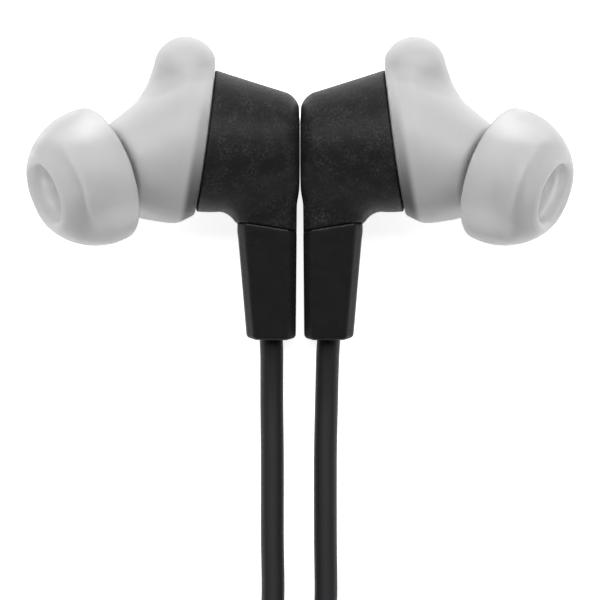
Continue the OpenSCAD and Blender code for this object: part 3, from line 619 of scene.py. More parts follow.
def vary(material, tones, share, gloss=None, relief=None, dark=None):
    """Joins patterns to a material's colour, gloss and relief, and gives it back.

    share is the pattern that mixes the two tones and the span of it that counts. gloss is such a
    span with the roughness at its ends, relief a pattern with its depth in millimetres and its
    strength. Where the piece carries painted shade, its colour goes to dark.
    """
    tree = material.node_tree
    shader = tree.nodes["shader"]
    layers = [(add(tree, "ShaderNodeMapRange", dict(zip(SPAN, share))), tones[1])]
    if dark is not None:
        painted = add(tree, "ShaderNodeAttribute", attribute_name="painted_shade")
        layers.append((painted.outputs["Fac"], dark))
    colour_now = tones[0]
    for factor, tone in layers:
        mixed = {"Factor": factor, 6: colour_now, 7: tone}
        colour_now = add(tree, "ShaderNodeMix", mixed, data_type="RGBA").outputs[2]
    tree.links.new(colour_now, shader.inputs["Base Color"])
    if gloss:
        spread = add(tree, "ShaderNodeMapRange", dict(zip(SPAN, gloss)))
        tree.links.new(spread.outputs[0], shader.inputs["Roughness"])
    if relief:
        height, depth_mm, strength = relief
        settings = {"Height": height, "Distance": depth_mm * MM, "Strength": strength}
        tree.links.new(add(tree, "ShaderNodeBump", settings).outputs[0], shader.inputs["Normal"])
    return material


def spark_eroded_abs(h):
    """Matt black ABS from a spark-eroded mould: a fine blotchy grain that breaks up the highlight."""
    m = new_material("abs_spark_eroded", {"Roughness": 0.52, "IOR": 1.53, "Specular IOR Level": 0.13})
    coarse, fine, cloud = grain(m, 0.55, 3, 0.6), grain(m, 0.22, 4, 0.65), grain(m, 1.6, 3, 0.6)
    speck, patch = (
        add(m.node_tree, "ShaderNodeMapRange", dict(zip(SPAN, span)))
        for span in ((fine, 0.46, 0.64, 0.1), (cloud, 0.38, 0.62, 0.15))
    )
    worn = add(m.node_tree, "ShaderNodeMath", {0: speck, 1: patch}, operation="MULTIPLY")
    height = add(m.node_tree, "ShaderNodeMath", {0: coarse, 1: fine}, operation="ADD")
    gloss = (fine, 0.35, 0.65, 0.42, 0.62)
    return vary(m, (h.tint, h.tint_worn), (worn, 0, 1), gloss, (height, 0.05, 0.7))


def pale_abs(n):
    """Natural white ABS of the parts under the gel, so that nothing dark shows through it; its tube is
    painted dark, as painted shade inside the tip's mouth.
    """
    m = new_material("abs_natural_moulded", {"Roughness": 0.45, "IOR": 1.53})
    tones = (n.tint, shaded(n.tint, 0.93))
    # the last colour is the painted shade on the tube inside the tip's mouth
    return vary(m, tones, (grain(m, 1.5), 0.4, 0.6), None, (grain(m, 0.2), 0.01, 0.5), n.tube_shade_tint)


def frosted_silicone(name, tint, clear, depth_mm, index):
    """Liquid silicone rubber from a blasted mould: milky, light passes through it, no sharp gloss."""
    settings = {
        "Roughness": 0.46,
        "IOR": index,
        "Subsurface Weight": 1.0,
        "Subsurface Radius": (1.0, 1.0, 1.0),
        "Subsurface Scale": depth_mm * MM,
        "Subsurface Anisotropy": 0.3,
        "Transmission Weight": clear,
        "Specular IOR Level": 0.42,
    }
    m = new_material(name, settings)
    frost = grain(m, 0.12, 2, 0.5)
    # dark is the colour of the painted shade on the sleeve's back band
    tones, dark = (tint, shaded(tint, 0.965)), shaded(tint, 0.2)
    gloss = (frost, 0.3, 0.7, 0.4, 0.52)
    return vary(m, tones, (grain(m, 4.0), 0.35, 0.65), gloss, (frost, 0.008, 0.5), dark)


def smooth_rubber(name, tint, roughness):
    """Moulded thermoplastic rubber: an even satin skin with a trace of orange peel."""
    m = new_material(name, {"Roughness": roughness, "IOR": 1.5, "Specular IOR Level": 0.3})
    skin = grain(m, 0.25, 2)
    gloss = (skin, 0.3, 0.7, roughness - 0.05, roughness + 0.06)
    return vary(m, (tint, shaded(tint, 1.22)), (grain(m, 1.2), 0.4, 0.62), gloss, (skin, 0.012, 0.5))


def extruded_jacket(tint):
    """Extruded cord jacket: satin rubber with faint lines drawn along it by the die."""
    m = new_material("tpe_jacket_extruded", {"Roughness": 0.55, "IOR": 1.5, "Specular IOR Level": 0.25})
    lines_per_turn, stretch = 28.0, 0.12
    around = add(m.node_tree, "ShaderNodeUVMap", uv_map="along")
    settings = {"Vector": around, "Scale": (lines_per_turn, stretch, 1.0)}
    drawn = add(m.node_tree, "ShaderNodeMapping", settings)
    lines = add(m.node_tree, "ShaderNodeTexNoise", {"Vector": drawn, "Scale": 1.0, "Detail": 2.0})
    gloss = (grain(m, 0.4), 0.3, 0.7, 0.5, 0.6)
    return vary(m, (tint, shaded(tint, 1.2)), (lines, 0.35, 0.65), gloss, (lines, 0.01, 0.5))


def bare_metal(name, tint, roughness, streak_mm=0.3):
    """Turned, stamped or plated metal: clean, with fine tool marks that vary its gloss."""
    m = new_material(name, {"Metallic": 1.0, "Roughness": roughness})
    marks = grain(m, streak_mm, 3)
    gloss = (marks, 0.3, 0.7, roughness - 0.05, roughness + 0.08)
    return vary(m, (tint, shaded(tint, 0.9)), (marks, 0.35, 0.65), gloss, (marks, 0.004, 0.4))


def plain_moulding(name, tint, roughness, grain_mm=0.4):
    """Small moulded, cut or formed part with a slight grain."""
    m = new_material(name, {"Roughness": roughness})
    marks = grain(m, grain_mm, 3)
    return vary(m, (tint, shaded(tint, 0.8)), (marks, 0.35, 0.65), None, (marks, 0.02, 0.5))


def opal_panel(stage):
    """Opal acrylic panel with a soft light below: pale, with a trace of unevenness."""
    glow = {"Emission Color": (1, 1, 1, 1), "Emission Strength": stage.floor_glow}
    m = new_material("acrylic_opal_panel", {"Roughness": 0.85, **glow})
    return vary(m, (stage.floor_tint, shaded(stage.floor_tint, 0.99)), (grain(m, 60.0), 0.4, 0.6))


def finishes():
    """Every material by the record's slot name, made once."""
    if "abs_spark_eroded" not in bpy.data.materials:
        s = sizes(bpy.context)
        made = {
            "housing_plastic": spark_eroded_abs(s.housing),
            "front_plastic": pale_abs(s.nozzle),
            "screen_mesh": bare_metal("steel_wire_woven", s.nozzle.steel, 0.35),
            "gel_silicone": frosted_silicone("silicone_frosted_sleeve", s.gel.tint, 0.3, 1.5, 1.41),
            "tip_silicone": frosted_silicone("silicone_frosted_tip", s.tip.tint, 0.6, 3.0, 1.3),
            "boot_rubber": smooth_rubber("tpe_moulded_boot", s.boot.tint, 0.48),
            "cord_jacket": extruded_jacket(s.cord.tint),
            "basket_steel": bare_metal("steel_drawn_basket", linear(0xBFC1C4), 0.32),
            "gasket_foam": plain_moulding("foam_cut_gasket", linear(0x3C3C3E), 0.9, 0.15),
            "diaphragm_film": plain_moulding("pet_film_formed", linear(0xC8B77C), 0.3, 0.8),
            "coil_copper": bare_metal("copper_wire_enamelled", linear(0xB8733A), 0.3, 0.06),
            "pole_steel": bare_metal("steel_turned_pole", linear(0xA9ABAE), 0.36),
            "magnet_nickel": bare_metal("nickel_plated_magnet", linear(0xC9C6BE), 0.2),
            "board_resin": plain_moulding("glass_resin_board", linear(0x2C6A3D), 0.4, 0.1),
            "tie_rubber": smooth_rubber("silicone_tie_moulded", s.cord.tie_tint, 0.5),
            "splitter_plastic": smooth_rubber("abs_splitter_moulded", linear(0x28282A), 0.4),
            "contact_gold": bare_metal("brass_gold_plated", s.plug.gold, 0.16),
            "insulator_plastic": plain_moulding("pom_insulator_turned", linear(0x1B1B1C), 0.35),
            "grip_rubber": smooth_rubber("tpe_moulded_grip", s.boot.tint, 0.46),
        }
        for slot, material in made.items():
            material["slot"] = slot
    return {m["slot"]: m for m in bpy.data.materials if "slot" in m}


# Covers of an earpiece

FIT = 0.05  # clearance between parts that plug into each other
EDGE = 0.15  # rounding of a moulded edge
PARTING = 0.02  # half of the gap where two pieces meet flat


def stem_section(s, cells):
    """Field of the stem and the boot below it: bevelled, with a taper along the boot."""
    h, b = s.housing, s.boot
    x, y, z = cells.axes
    down = np.clip((-h.stem_len - y) / b.length, 0, 1)
    half_w = (h.stem_w + (b.end_w - h.stem_w) * down) / 2
    half_t = (h.stem_t + (b.end_t - h.stem_t) * down) / 2
    across, over = np.abs(x - h.stem_inset - half_w) - half_w, np.abs(z) - half_t
    return meet(np.maximum(across, over), (across + over + h.bevel) / math.sqrt(2), EDGE)


def tenon_section(s, cells):
    """Field of the boot's tenon across the stem."""
    x, _, z = cells.axes
    return both(np.abs(x - stem_axis(s)) - s.boot.tenon_w / 2, np.abs(z) - s.boot.tenon_t / 2)


def above_seam(s, cells):
    """Distance above the slanted seam between the stem and the boot."""
    h = s.housing
    x, y, z = cells.axes
    rise, tilt = math.tan(h.seam_rise), math.tan(h.seam_tilt)
    seam_y = -h.seam + rise * (x - h.stem_inset) + tilt * (z - h.stem_t / 2)
    return (y - seam_y) / math.sqrt(1 + rise * rise + tilt * tilt)


def rear_shell_mesh(s):
    """Barrel and stem in one moulding, bored for the driver, the spigot and the boot's tenon."""
    h, pair = s.housing, s.pair
    cells = Cells((-0.5, -h.stem_len - 2.2, -7), (h.depth + 1.6, 7, 7), 0.13)
    x, y, z = cells.axes
    around = np.hypot(y, z)
    front_x = h.depth - y * math.tan(h.cant)
    share = np.clip((x - h.back_round) / (front_x - h.back_round), -0.3, 1.1)
    below = np.clip(-y / np.maximum(around, 0.1), 0, 1) ** 2
    swell = 4 * h.belly * np.clip(share * (1 - share), 0, 1) * below
    cone = h.back_radius + (h.radius - h.back_radius) * share + swell
    slope = math.cos(math.atan((h.radius - h.back_radius) / h.depth))
    stem_end, barrel_start = -7, -2.5  # between them the clearance behind the back closes
    parted = ramp(y, stem_end, barrel_start)
    back = -x - (pair.gap - h.back_meet - y * math.tan(pair.splay)) * parted
    barrel = meet((around - cone) * slope, back, h.back_round)
    setback = 0.06  # of the front edge behind the sleeve
    barrel = meet(barrel, (x - front_x) * math.cos(h.cant) + setback, EDGE)
    stem = np.maximum(stem_section(s, cells), y)
    near, far = 1.2, 3.8  # between them the stem's fillet grows
    fillet = h.fillet_back + (h.fillet - h.fillet_back) * ramp(x, near, far)
    body = meet(merge(barrel, stem, fillet), back, EDGE)
    body = meet(body, PARTING - above_seam(s, cells), h.seam_round)
    driver = cells.seen_from(driver_frame(s))
    spigot = round_bar(driver, h.spigot_bore, -h.spigot_len, 2)
    bore = round_bar(driver, h.bore_radius, -h.bore_depth, 2)
    floor = driver_frame(s) @ Vector((0, 0, -h.bore_depth))
    deep = (x - h.back_wall) / (floor.x - h.back_wall)
    narrow, wide = h.back_radius - h.edge_wall, h.bore_radius - h.bore_step
    cavity = np.hypot(y - floor.y * deep, z) - narrow - (wide - narrow) * deep
    cavity = both(cavity, -deep, deep - 1.05)
    passage = both(tenon_section(s, cells) - FIT, y + 2)
    return cells.surface(np.maximum(body, -either(spigot, bore, cavity, passage)))


def front_form(s, cells, grow):
    """Field of the front shell's outer form, or of the hollow that the gel leaves for it."""
    n = s.nozzle
    chin = (s.housing.depth + n.chin_out, -n.chin_drop, n.chin_lift)
    points = ring_points(driver_frame(s), 0, n.flange_radius + grow)
    points += ball_points(chin, n.chin_radius + grow)
    points += ring_points(nozzle_frame(s), n.base + grow, n.neck_radius + grow)
    return hull_field(cells, points)


def front_shell_mesh(s):
    """Flange, cheek and nozzle with its barb, hollow from the driver to the open end."""
    h, n = s.housing, s.nozzle
    cells = Cells((h.depth - 3.2, -7.5, -7), (h.depth + 15.6, 7, 9), 0.16)
    form = softened(front_form(s, cells, grow=0), passes=2)
    driver, nozzle = cells.seen_from(driver_frame(s)), cells.seen_from(nozzle_frame(s))
    ahead, around = nozzle[2], np.hypot(nozzle[0], nozzle[1])
    tube = meet(around - n.radius, np.maximum(n.base - 1 - ahead, ahead - n.end), EDGE)
    barb_top = n.end - n.barb_back
    slant = (barb_top - ahead) / n.barb_len * (n.barb_radius - n.radius)
    barb = both(around - n.radius - slant, barb_top - n.barb_len - ahead, ahead - barb_top)
    spigot = round_bar(driver, h.spigot_bore - FIT, -h.spigot_len, 0.5)
    body = either(merge(form, tube, 0.5), spigot, barb)
    inner = np.maximum(form + n.wall, -driver[2])
    bore = round_bar(nozzle, n.bore, n.base / 2, n.end + 2)
    seat = round_bar(nozzle, n.bore + 0.25, n.end - n.screen_seat, n.end + 2)
    mouth = round_bar(driver, h.bore_radius, -h.spigot_len - 2, 0)
    return cells.surface(np.maximum(body, -either(inner, bore, seat, mouth)))


def gel_mesh(s):
    """Sleeve with a bevelled back edge, a cheek, a neck round the nozzle and the ear lobe."""
    h, n, g = s.housing, s.nozzle, s.gel
    cells = Cells((h.depth - 2, -8.4, -8.2), (h.depth + 10.6, 10.6, 8.6), 0.16)
    skin = g.fit + g.wall
    sag = g.sag * Vector((0, -math.cos(s.pair.roll), math.sin(s.pair.roll)))
    points = []
    for height, short in ((0, 0.3), (g.chamfer, 0.06), (g.rim, 0)):
        level = Matrix.Translation(sag * min(1, height / g.rim + 0.2)) @ driver_frame(s)
        points += ring_points(level, height, g.radius - short)
    chin = Vector((h.depth + n.chin_out, -n.chin_drop, n.chin_lift))
    points += ball_points(chin + sag, n.chin_radius + skin)
    neck_end = n.base + g.neck_len
    points += ring_points(nozzle_frame(s), neck_end, n.neck_radius + g.fit + g.neck_wall)
    driver, nozzle = cells.seen_from(driver_frame(s)), cells.seen_from(nozzle_frame(s))
    slope = g.chamfer_rise / g.chamfer
    band = np.hypot(driver[0], driver[1]) - g.back_radius - slope * driver[2]
    sleeve = softened(hull_field(cells, points), passes=5)
    sleeve = meet(sleeve, band / math.hypot(1, slope), 0.12)
    lobe, root = (g.lobe_out, g.lobe_h, 0), (g.root_out, g.root_h, 0)
    body = merge(sleeve, ball_bar(cells, lobe, root, g.lobe_radius, g.root_radius), g.blend)
    body = meet(body, -driver[2], 0.2)
    body = meet(body, nozzle[2] - neck_end, 0.2)
    form = front_form(s, cells, g.fit)
    tube = round_bar(nozzle, n.radius + 2 * g.fit, 0, 20)
    flange = round_bar(driver, n.flange_radius + g.fit, -5, 0.1)
    return cells.surface(np.maximum(body, -either(form, tube, flange)))


def painted_band_shade(s, points):
    """Painted shade on the thin band at the sleeve's back edge: darker towards the stem, where the
    sleeve turns from the light, and fading out on the lobe.
    """
    band = 1 - ramp(along(driver_frame(s), points), 0.8 * s.gel.chamfer, 1.5 * s.gel.chamfer)
    down = -points[:, 1]
    return band * (0.2 * ramp(down, -6, -3) + 0.8 * ramp(down, -3, 4))


def painted_tube_shade(s, points):
    """Painted shade on the front shell: its tube, beyond the sleeve's neck, is made dark to deepen the
    shade inside the tip's mouth.
    """
    start = s.nozzle.base + s.gel.neck_len
    return ramp(along(nozzle_frame(s), points), start, start + 0.3)


def tip_profile(t):
    """Profile of the ear tip: bore, lip, dished front, dome, folded rim, inside and core."""
    mouth_angle = math.degrees(math.acos((t.core_bore + 2 * t.lip) / t.radius))
    rim_angle = math.degrees(math.asin(t.back / t.radius))
    inside, bead, core = t.radius - t.wall, t.wall / 2, t.core_bore + t.core_wall
    down = math.radians(-rim_angle)
    bead_at = ((t.radius - bead) * math.cos(down), (t.radius - bead) * math.sin(down))
    root = t.front - t.root
    root_angle = math.degrees(math.asin(min(1, root / inside)))
    end = 0.2  # rounding of the core's back end
    profile = [(t.core_bore, t.core_back + end), (t.core_bore, 0)]
    profile += arc((t.core_bore + t.lip, t.front - t.lip), t.lip, 180, 60, 10)
    profile += arc((0, 0), t.radius, mouth_angle, -rim_angle, 44)
    profile += arc(bead_at, bead, -rim_angle, -rim_angle - 180, 8)[1:-1]
    profile += arc((0, 0), inside, -rim_angle, root_angle, 36)
    profile += [(core + 0.5, root + 0.15), (core + 0.12, root - 0.25), (core, root - 0.8), (core, 0)]
    profile += arc((core - end, t.core_back + end), end, 0, -90, 4)
    profile += arc((t.core_bore + end, t.core_back + end), end, -90, -180, 4)[:-1]
    return profile


def boot_mesh(s):
    """Tapered boot with bevelled edges, a lip under the slanted seam, a rounded end and a bore."""
    h, b = s.housing, s.boot
    end = h.stem_len + b.length
    cells = Cells((-0.4, -end - 0.4, -3), (6, -h.stem_len + b.tenon_len + 0.4, 3), 0.11)
    x, y, z = cells.axes
    above = above_seam(s, cells)
    proud = b.lip * (1 - ramp(-above, 0.5, 1.4)) * ramp(x, 1, 3)
    body = meet(stem_section(s, cells) - proud, -end - y, b.round)
    body = meet(body, above + PARTING, h.seam_round)
    rooted = 0.5  # how far the tenon reaches down into the boot
    tenon = tenon_section(s, cells)
    tenon = both(tenon, y + h.stem_len - b.tenon_len, -h.stem_len - rooted - y)
    lead_in = 0.25 - (y + end) * 0.6
    bore = np.hypot(x - stem_axis(s), z) - b.bore - np.maximum(lead_in, 0)
    return cells.surface(np.maximum(either(body, tenon), -bore))


class EARPHONES_OT_rear_shells(bpy.types.Operator):
    """Build both rear shells."""

    bl_idname = "earphones.rear_shells"
    bl_label = "Rear shells"

    def execute(self, context):
        s = sizes(context)
        return build_pair(s, "rear_cover", rear_shell_mesh(s), "rear_shell", "housing_plastic")


class EARPHONES_OT_front_shells(bpy.types.Operator):
    """Build both front shells with their nozzles."""

    bl_idname = "earphones.front_shells"
    bl_label = "Front shells"

    def execute(self, context):
        s = sizes(context)
        mesh = front_shell_mesh(s)
        # the tube inside the tip gets painted shade
        looks = {"painted_shade": painted_tube_shade(s, mesh[0]), "finish": "front_plastic"}
        return build_pair(s, "front_cover", mesh, "front_shell", "housing_plastic", **looks)


class EARPHONES_OT_gel_sleeves(bpy.types.Operator):
    """Build both silicone sleeves."""

    bl_idname = "earphones.gel_sleeves"
    bl_label = "Gel sleeves"

    def execute(self, context):
        s = sizes(context)
        mesh = gel_mesh(s)
        # painted shade on the sleeve's back band, darker towards the stem
        painted_shade = painted_band_shade(s, mesh[0])
        return build_pair(s, "gel_sleeve", mesh, "ear_gel", "gel_silicone", "gel", painted_shade=painted_shade)


class EARPHONES_OT_ear_tips(bpy.types.Operator):
    """Build both silicone ear tips."""

    bl_idname = "earphones.ear_tips"
    bl_label = "Ear tips"

    def execute(self, context):
        s = sizes(context)
        mesh = turned(tip_profile(s.tip), steps=128)
        inner = nozzle_frame(s) @ Matrix.Translation((0, 0, s.tip.middle))
        return build_pair(s, "silicone_tip", mesh, "ear_tip", "tip_silicone", "tip", inner)


class EARPHONES_OT_boots(bpy.types.Operator):
    """Build both rubber boots."""

    bl_idname = "earphones.boots"
    bl_label = "Boots"

    def execute(self, context):
        s = sizes(context)
        return build_pair(s, "rubber_boot", boot_mesh(s), "boot", "boot_rubber")


def screen_tree(material):
    """Geometry Nodes tree of a round woven screen: two sets of wires that pass over and under."""
    tree = bpy.data.node_groups.new("woven_screen", "GeometryNodeTree")
    for name, default in (("Radius", 2.0), ("Pitch", 0.2), ("Wire", 0.08)):
        socket = tree.interface.new_socket(name, in_out="INPUT", socket_type="NodeSocketFloat")
        socket.default_value = default * MM
    tree.interface.new_socket("Geometry", in_out="OUTPUT", socket_type="NodeSocketGeometry")
    given = add(tree, "NodeGroupInput").outputs
    place = add(tree, "GeometryNodeInputPosition")
    parts = add(tree, "ShaderNodeSeparateXYZ", {"Vector": place}).outputs
    v = {"radius": given["Radius"], "pitch": given["Pitch"], "wire": given["Wire"]}
    v.update(x=parts["X"], y=parts["Y"])
    sums = (
        ("reach", "MULTIPLY", "radius", 0.98),
        ("room", "DIVIDE", "reach", "pitch"),
        ("half", "FLOOR", "room"),
        ("pairs", "MULTIPLY", "half", 2),
        ("count", "ADD", "pairs", 1),
        ("side", "MULTIPLY", "half", "pitch"),
        ("first", "MULTIPLY", "side", -1),
        ("thin", "MULTIPLY", "wire", 0.5),
        ("radius_squared", "MULTIPLY", "radius", "radius"),
        ("x_squared", "MULTIPLY", "x", "x"),
        ("chord_squared", "SUBTRACT", "radius_squared", "x_squared"),
        ("chord", "SQRT", "chord_squared"),
        ("way", "ADD", "x", "y"),
        ("phase", "DIVIDE", "way", "pitch"),
        ("turn", "MULTIPLY", "phase", math.pi),
        ("wave", "COSINE", "turn"),
        ("over", "MULTIPLY", "wave", "thin"),
        ("under", "MULTIPLY", "over", -1),
    )
    for name, operation, *terms in sums:
        inputs = {i: v.get(term, term) for i, term in enumerate(terms)}
        v[name] = add(tree, "ShaderNodeMath", inputs, operation=operation)
    start, step = (add(tree, "ShaderNodeCombineXYZ", {"X": v[key]}) for key in ("first", "pitch"))
    row = {"Count": v["count"], "Start Location": start, "Offset": step}
    row = add(tree, "GeometryNodeMeshLine", row, mode="OFFSET")
    line = add(tree, "GeometryNodeCurvePrimitiveLine", {"Start": (0, -1, 0), "End": (0, 1, 0)})
    fine = add(tree, "GeometryNodeResampleCurve", {"Curve": line, "Count": 61})
    section = {"Radius": v["thin"], "Resolution": 6}
    section = add(tree, "GeometryNodeCurvePrimitiveCircle", section)
    size = add(tree, "ShaderNodeCombineXYZ", {"X": 1.0, "Y": v["chord"], "Z": 1.0})
    wires = {"Points": row, "Instance": fine, "Scale": size}
    wires = add(tree, "GeometryNodeInstanceOnPoints", wires)
    real = add(tree, "GeometryNodeRealizeInstances", {"Geometry": wires})
    joined = add(tree, "GeometryNodeJoinGeometry")
    for key, turn in (("over", 0.0), ("under", math.pi / 2)):
        lift = add(tree, "ShaderNodeCombineXYZ", {"Z": v[key]})
        waved = add(tree, "GeometryNodeSetPosition", {"Geometry": real, "Offset": lift})
        laid = add(tree, "GeometryNodeTransform", {"Geometry": waved, "Rotation": (0, 0, turn)})
        tube = {"Curve": laid, "Profile Curve": section, "Fill Caps": True}
        tube = add(tree, "GeometryNodeCurveToMesh", tube)
        tree.links.new(tube.outputs[0], joined.inputs[0])
    whole = add(tree, "GeometryNodeRealizeInstances", {"Geometry": joined})
    painted = add(tree, "GeometryNodeSetMaterial", {"Geometry": whole, "Material": material})
    add(tree, "NodeGroupOutput", {"Geometry": painted})
    return tree


def from_tree(name, tree, values, placing):
    """The plain mesh object that a Geometry Nodes tree makes with these input values, placed."""
    holder = show(name + "_holder", bpy.data.meshes.new(name + "_holder"))
    modifier = holder.modifiers.new("tree", "NODES")
    modifier.node_group = tree
    for item in tree.interface.items_tree:
        if item.item_type == "SOCKET" and item.in_out == "INPUT":
            modifier[item.identifier] = values[item.name]
    bpy.context.view_layer.update()
    evaluated = holder.evaluated_get(bpy.context.evaluated_depsgraph_get())
    mesh = bpy.data.meshes.new_from_object(evaluated)
    holder.modifiers.clear()
    bpy.data.objects.remove(holder)
    mesh.transform(placing)
    if placing.determinant() < 0:
        mesh.flip_normals()
    mesh.shade_smooth()
    return show(name, mesh)


class EARPHONES_OT_nozzle_screens(bpy.types.Operator):
    """Build both woven screens in the nozzles."""

    bl_idname = "earphones.nozzle_screens"
    bl_label = "Nozzle screens"

    def execute(self, context):
        s = sizes(context)
        n = s.nozzle
        held = 0.2  # how far the screen reaches into its seat
        tree = screen_tree(finishes()["screen_mesh"])
        given = {"Radius": n.bore + held, "Pitch": n.screen_pitch, "Wire": n.screen_wire}
        values = {name: value * MM for name, value in given.items()}
        seat = Matrix.Translation((0, 0, n.end - n.screen_seat / 2)) @ Matrix.Scale(1 / MM, 4)
        for side in SIDES:
            placing = earpiece_placing(s, side) @ nozzle_frame(s) @ seat
            piece = from_tree(side + "_woven_screen", tree, values, placing)
            dress(piece, "screen_mesh", CABLE_SET, side + "_nozzle_screen")
        return {"FINISHED"}


# Splitter and plug

SPLITTER_PIECES = ("splitter_bottom_half", "splitter_top_half", "splitter_crimp")
PLUG_PIECES = {
    "plug_bend_relief": ("plug_relief", "grip_rubber"),
    "plug_moulded_grip": ("plug_grip", "grip_rubber"),
    "plug_sleeve_contact": ("plug_sleeve", "contact_gold"),
    "plug_rear_ring": ("plug_rear_insulator", "insulator_plastic"),
    "plug_ring_contact": ("plug_ring", "contact_gold"),
    "plug_front_ring": ("plug_front_insulator", "insulator_plastic"),
    "plug_tip_contact": ("plug_tip", "contact_gold"),
}


class EARPHONES_OT_splitter(bpy.types.Operator):
    """Build the two halves of the splitter."""

    bl_idname = "earphones.splitter"
    bl_label = "Splitter"

    def execute(self, context):
        s = sizes(context)
        y_shape, c = s.splitter, s.cord
        low, high = (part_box(node) for node in ("splitter_lower", "splitter_upper"))
        middle = Vector(((low[0].x + low[1].x) / 2, low[1].y, (low[1].z + high[0].z) / 2))
        half = y_shape.length / 2
        cells = Cells((-4.4, -2 * half - 0.4, -3), (4.4, 0.4, 3), 0.12)
        x, y, z = cells.axes
        taper = np.clip(-y / y_shape.length, 0, 1)
        half_w = (y_shape.width + (y_shape.end_width - y_shape.width) * taper) / 2
        body = meet(np.abs(x) - half_w, np.abs(z) - y_shape.thickness / 2, y_shape.round)
        body = meet(body, np.abs(y + half) - half, 0.5)
        body += y_shape.groove * np.exp(-((z / 0.14) ** 2))
        pocket_x, pocket_y, pocket_z = 2.4, 2.1, 1.4  # half sizes of the room for the crimp
        hollows = [both(np.abs(x) - pocket_x, np.abs(y + half) - pocket_y, np.abs(z) - pocket_z)]
        for offset in (-y_shape.entry, y_shape.entry):
            hollows.append(round_bar((x - offset, z, y), c.branch_d / 2 + FIT, -half, 2))
        hollows.append(round_bar((x, z, y), c.main_d / 2 + FIT, -2 * half - 2, -half))
        body = np.maximum(body, -either(*hollows))
        placing = Matrix.Translation(middle) @ Matrix.Scale(MM, 4)
        halves = ((1, SPLITTER_PIECES[0], "splitter_lower"), (-1, SPLITTER_PIECES[1], "splitter_upper"))
        for sign, name, node in halves:
            mesh = cells.surface(np.maximum(body, sign * z + PARTING))
            dress(add_piece(name, *mesh, placing), "splitter_plastic", CABLE_SET, node)
        return {"FINISHED"}


def plug_profiles(p):
    """Profiles of the plug's pieces in order, from the relief at the cord to the tip contact."""
    grip = p.relief_len
    collar = grip + p.grip_len
    sleeve = collar + p.collar_len
    rear = sleeve + p.sleeve
    ring = rear + p.insulator
    front = ring + p.ring
    tip = front + p.insulator
    inner, gap = p.core + p.fit, p.fit / 2

    def band(start, end):
        corners = [(r, y) for r, y in zip((inner, p.pin, p.pin, inner), (start, start, end, end))]
        return rounded_profile(corners, (0, 0.06, 0.06, 0), 3)

    slots, slot = 4, 0.35  # how many slots the relief has, and how deep they are
    relief = [(0, 0), (p.relief_end - 0.25, 0), (p.relief_end, 0.25)]
    for k in range(slots):
        low = p.relief_len * (0.12 + 0.2 * k)
        edge = p.relief_end + (p.relief_radius - p.relief_end) * low / p.relief_len
        deep = edge - slot
        relief += [(edge, low), (deep, low + 0.12), (deep, low + 0.62), (edge + 0.06, low + 0.74)]
    relief += [(p.relief_radius, p.relief_len - p.fit), (0, p.relief_len - p.fit)]

    ridges, ridge, waist = 6, 0.1, 0.12  # ridges of the grip, their height, how far it narrows
    first, last = grip + 2.6, collar - 3.2
    handle = [(0, grip), *arc((p.grip_radius - 0.6, grip + 0.6), 0.6, -90, 0, 6)]
    for k in range(ridges):
        low, high = (first + (last - first) * i / ridges for i in (k, k + 1))
        edge = p.grip_radius - waist * math.sin(math.pi * (k + 0.5) / ridges)
        deep = edge - ridge
        handle += [(edge, low + 0.1), (deep, low + 0.3), (deep, low + 0.5), (edge, low + 0.7)]
        handle.append((edge, (low + 0.7 + high) / 2))
    handle += [*arc((p.grip_radius - 0.9, collar - 0.6), 0.6, 0, 90, 6), (0, collar)]

    radii = (inner, p.collar_radius, p.collar_radius, p.pin, p.pin, inner)
    heights = (collar + p.fit, collar + p.fit, sleeve, sleeve, rear - gap, rear - gap)
    barrel = rounded_profile(list(zip(radii, heights)), (0, 0.12, 0.12, 0.1, 0.06, 0), 4)

    head = p.pin - 0.05
    point = [(0, collar + p.fit), (p.core, collar + p.fit), (p.core, tip + p.fit)]
    point += [(p.groove + 0.25, tip + p.fit), (p.groove + 0.03, tip + 0.35)]
    point += arc((p.groove + 0.45, tip + 0.62), 0.45, 190, 125, 6)
    point += arc((head - 0.3, tip + 1.65), 0.3, 20, 50, 4)
    point += arc((0, tip + p.tip - 0.6), 0.6, 35, 90, 6)

    bands = [band(start + gap, end - gap) for start, end in ((rear, ring), (ring, front), (front, tip))]
    return relief, handle, barrel, *bands, point


class EARPHONES_OT_plug(bpy.types.Operator):
    """Build the plug's relief, grip, contacts and insulators."""

    bl_idname = "earphones.plug"
    bl_label = "Plug"

    def execute(self, context):
        p = sizes(context).plug
        turn = Matrix.Rotation(-p.turn, 4, "Z") @ Matrix.Rotation(-math.pi / 2, 4, "X")
        placing = Matrix.Translation(Vector(PLUG_AT) * MM) @ turn @ Matrix.Scale(MM, 4)
        for (name, (node, slot)), profile in zip(PLUG_PIECES.items(), plug_profiles(p)):
            mesh = turned(profile, steps=64)
            piece = add_piece(name, *mesh, placing, sharp=math.radians(38))
            close_poles(piece)
            dress(piece, slot, CABLE_SET, node)
        return {"FINISHED"}


# Cords. Route points repeat the part's own, in millimetres

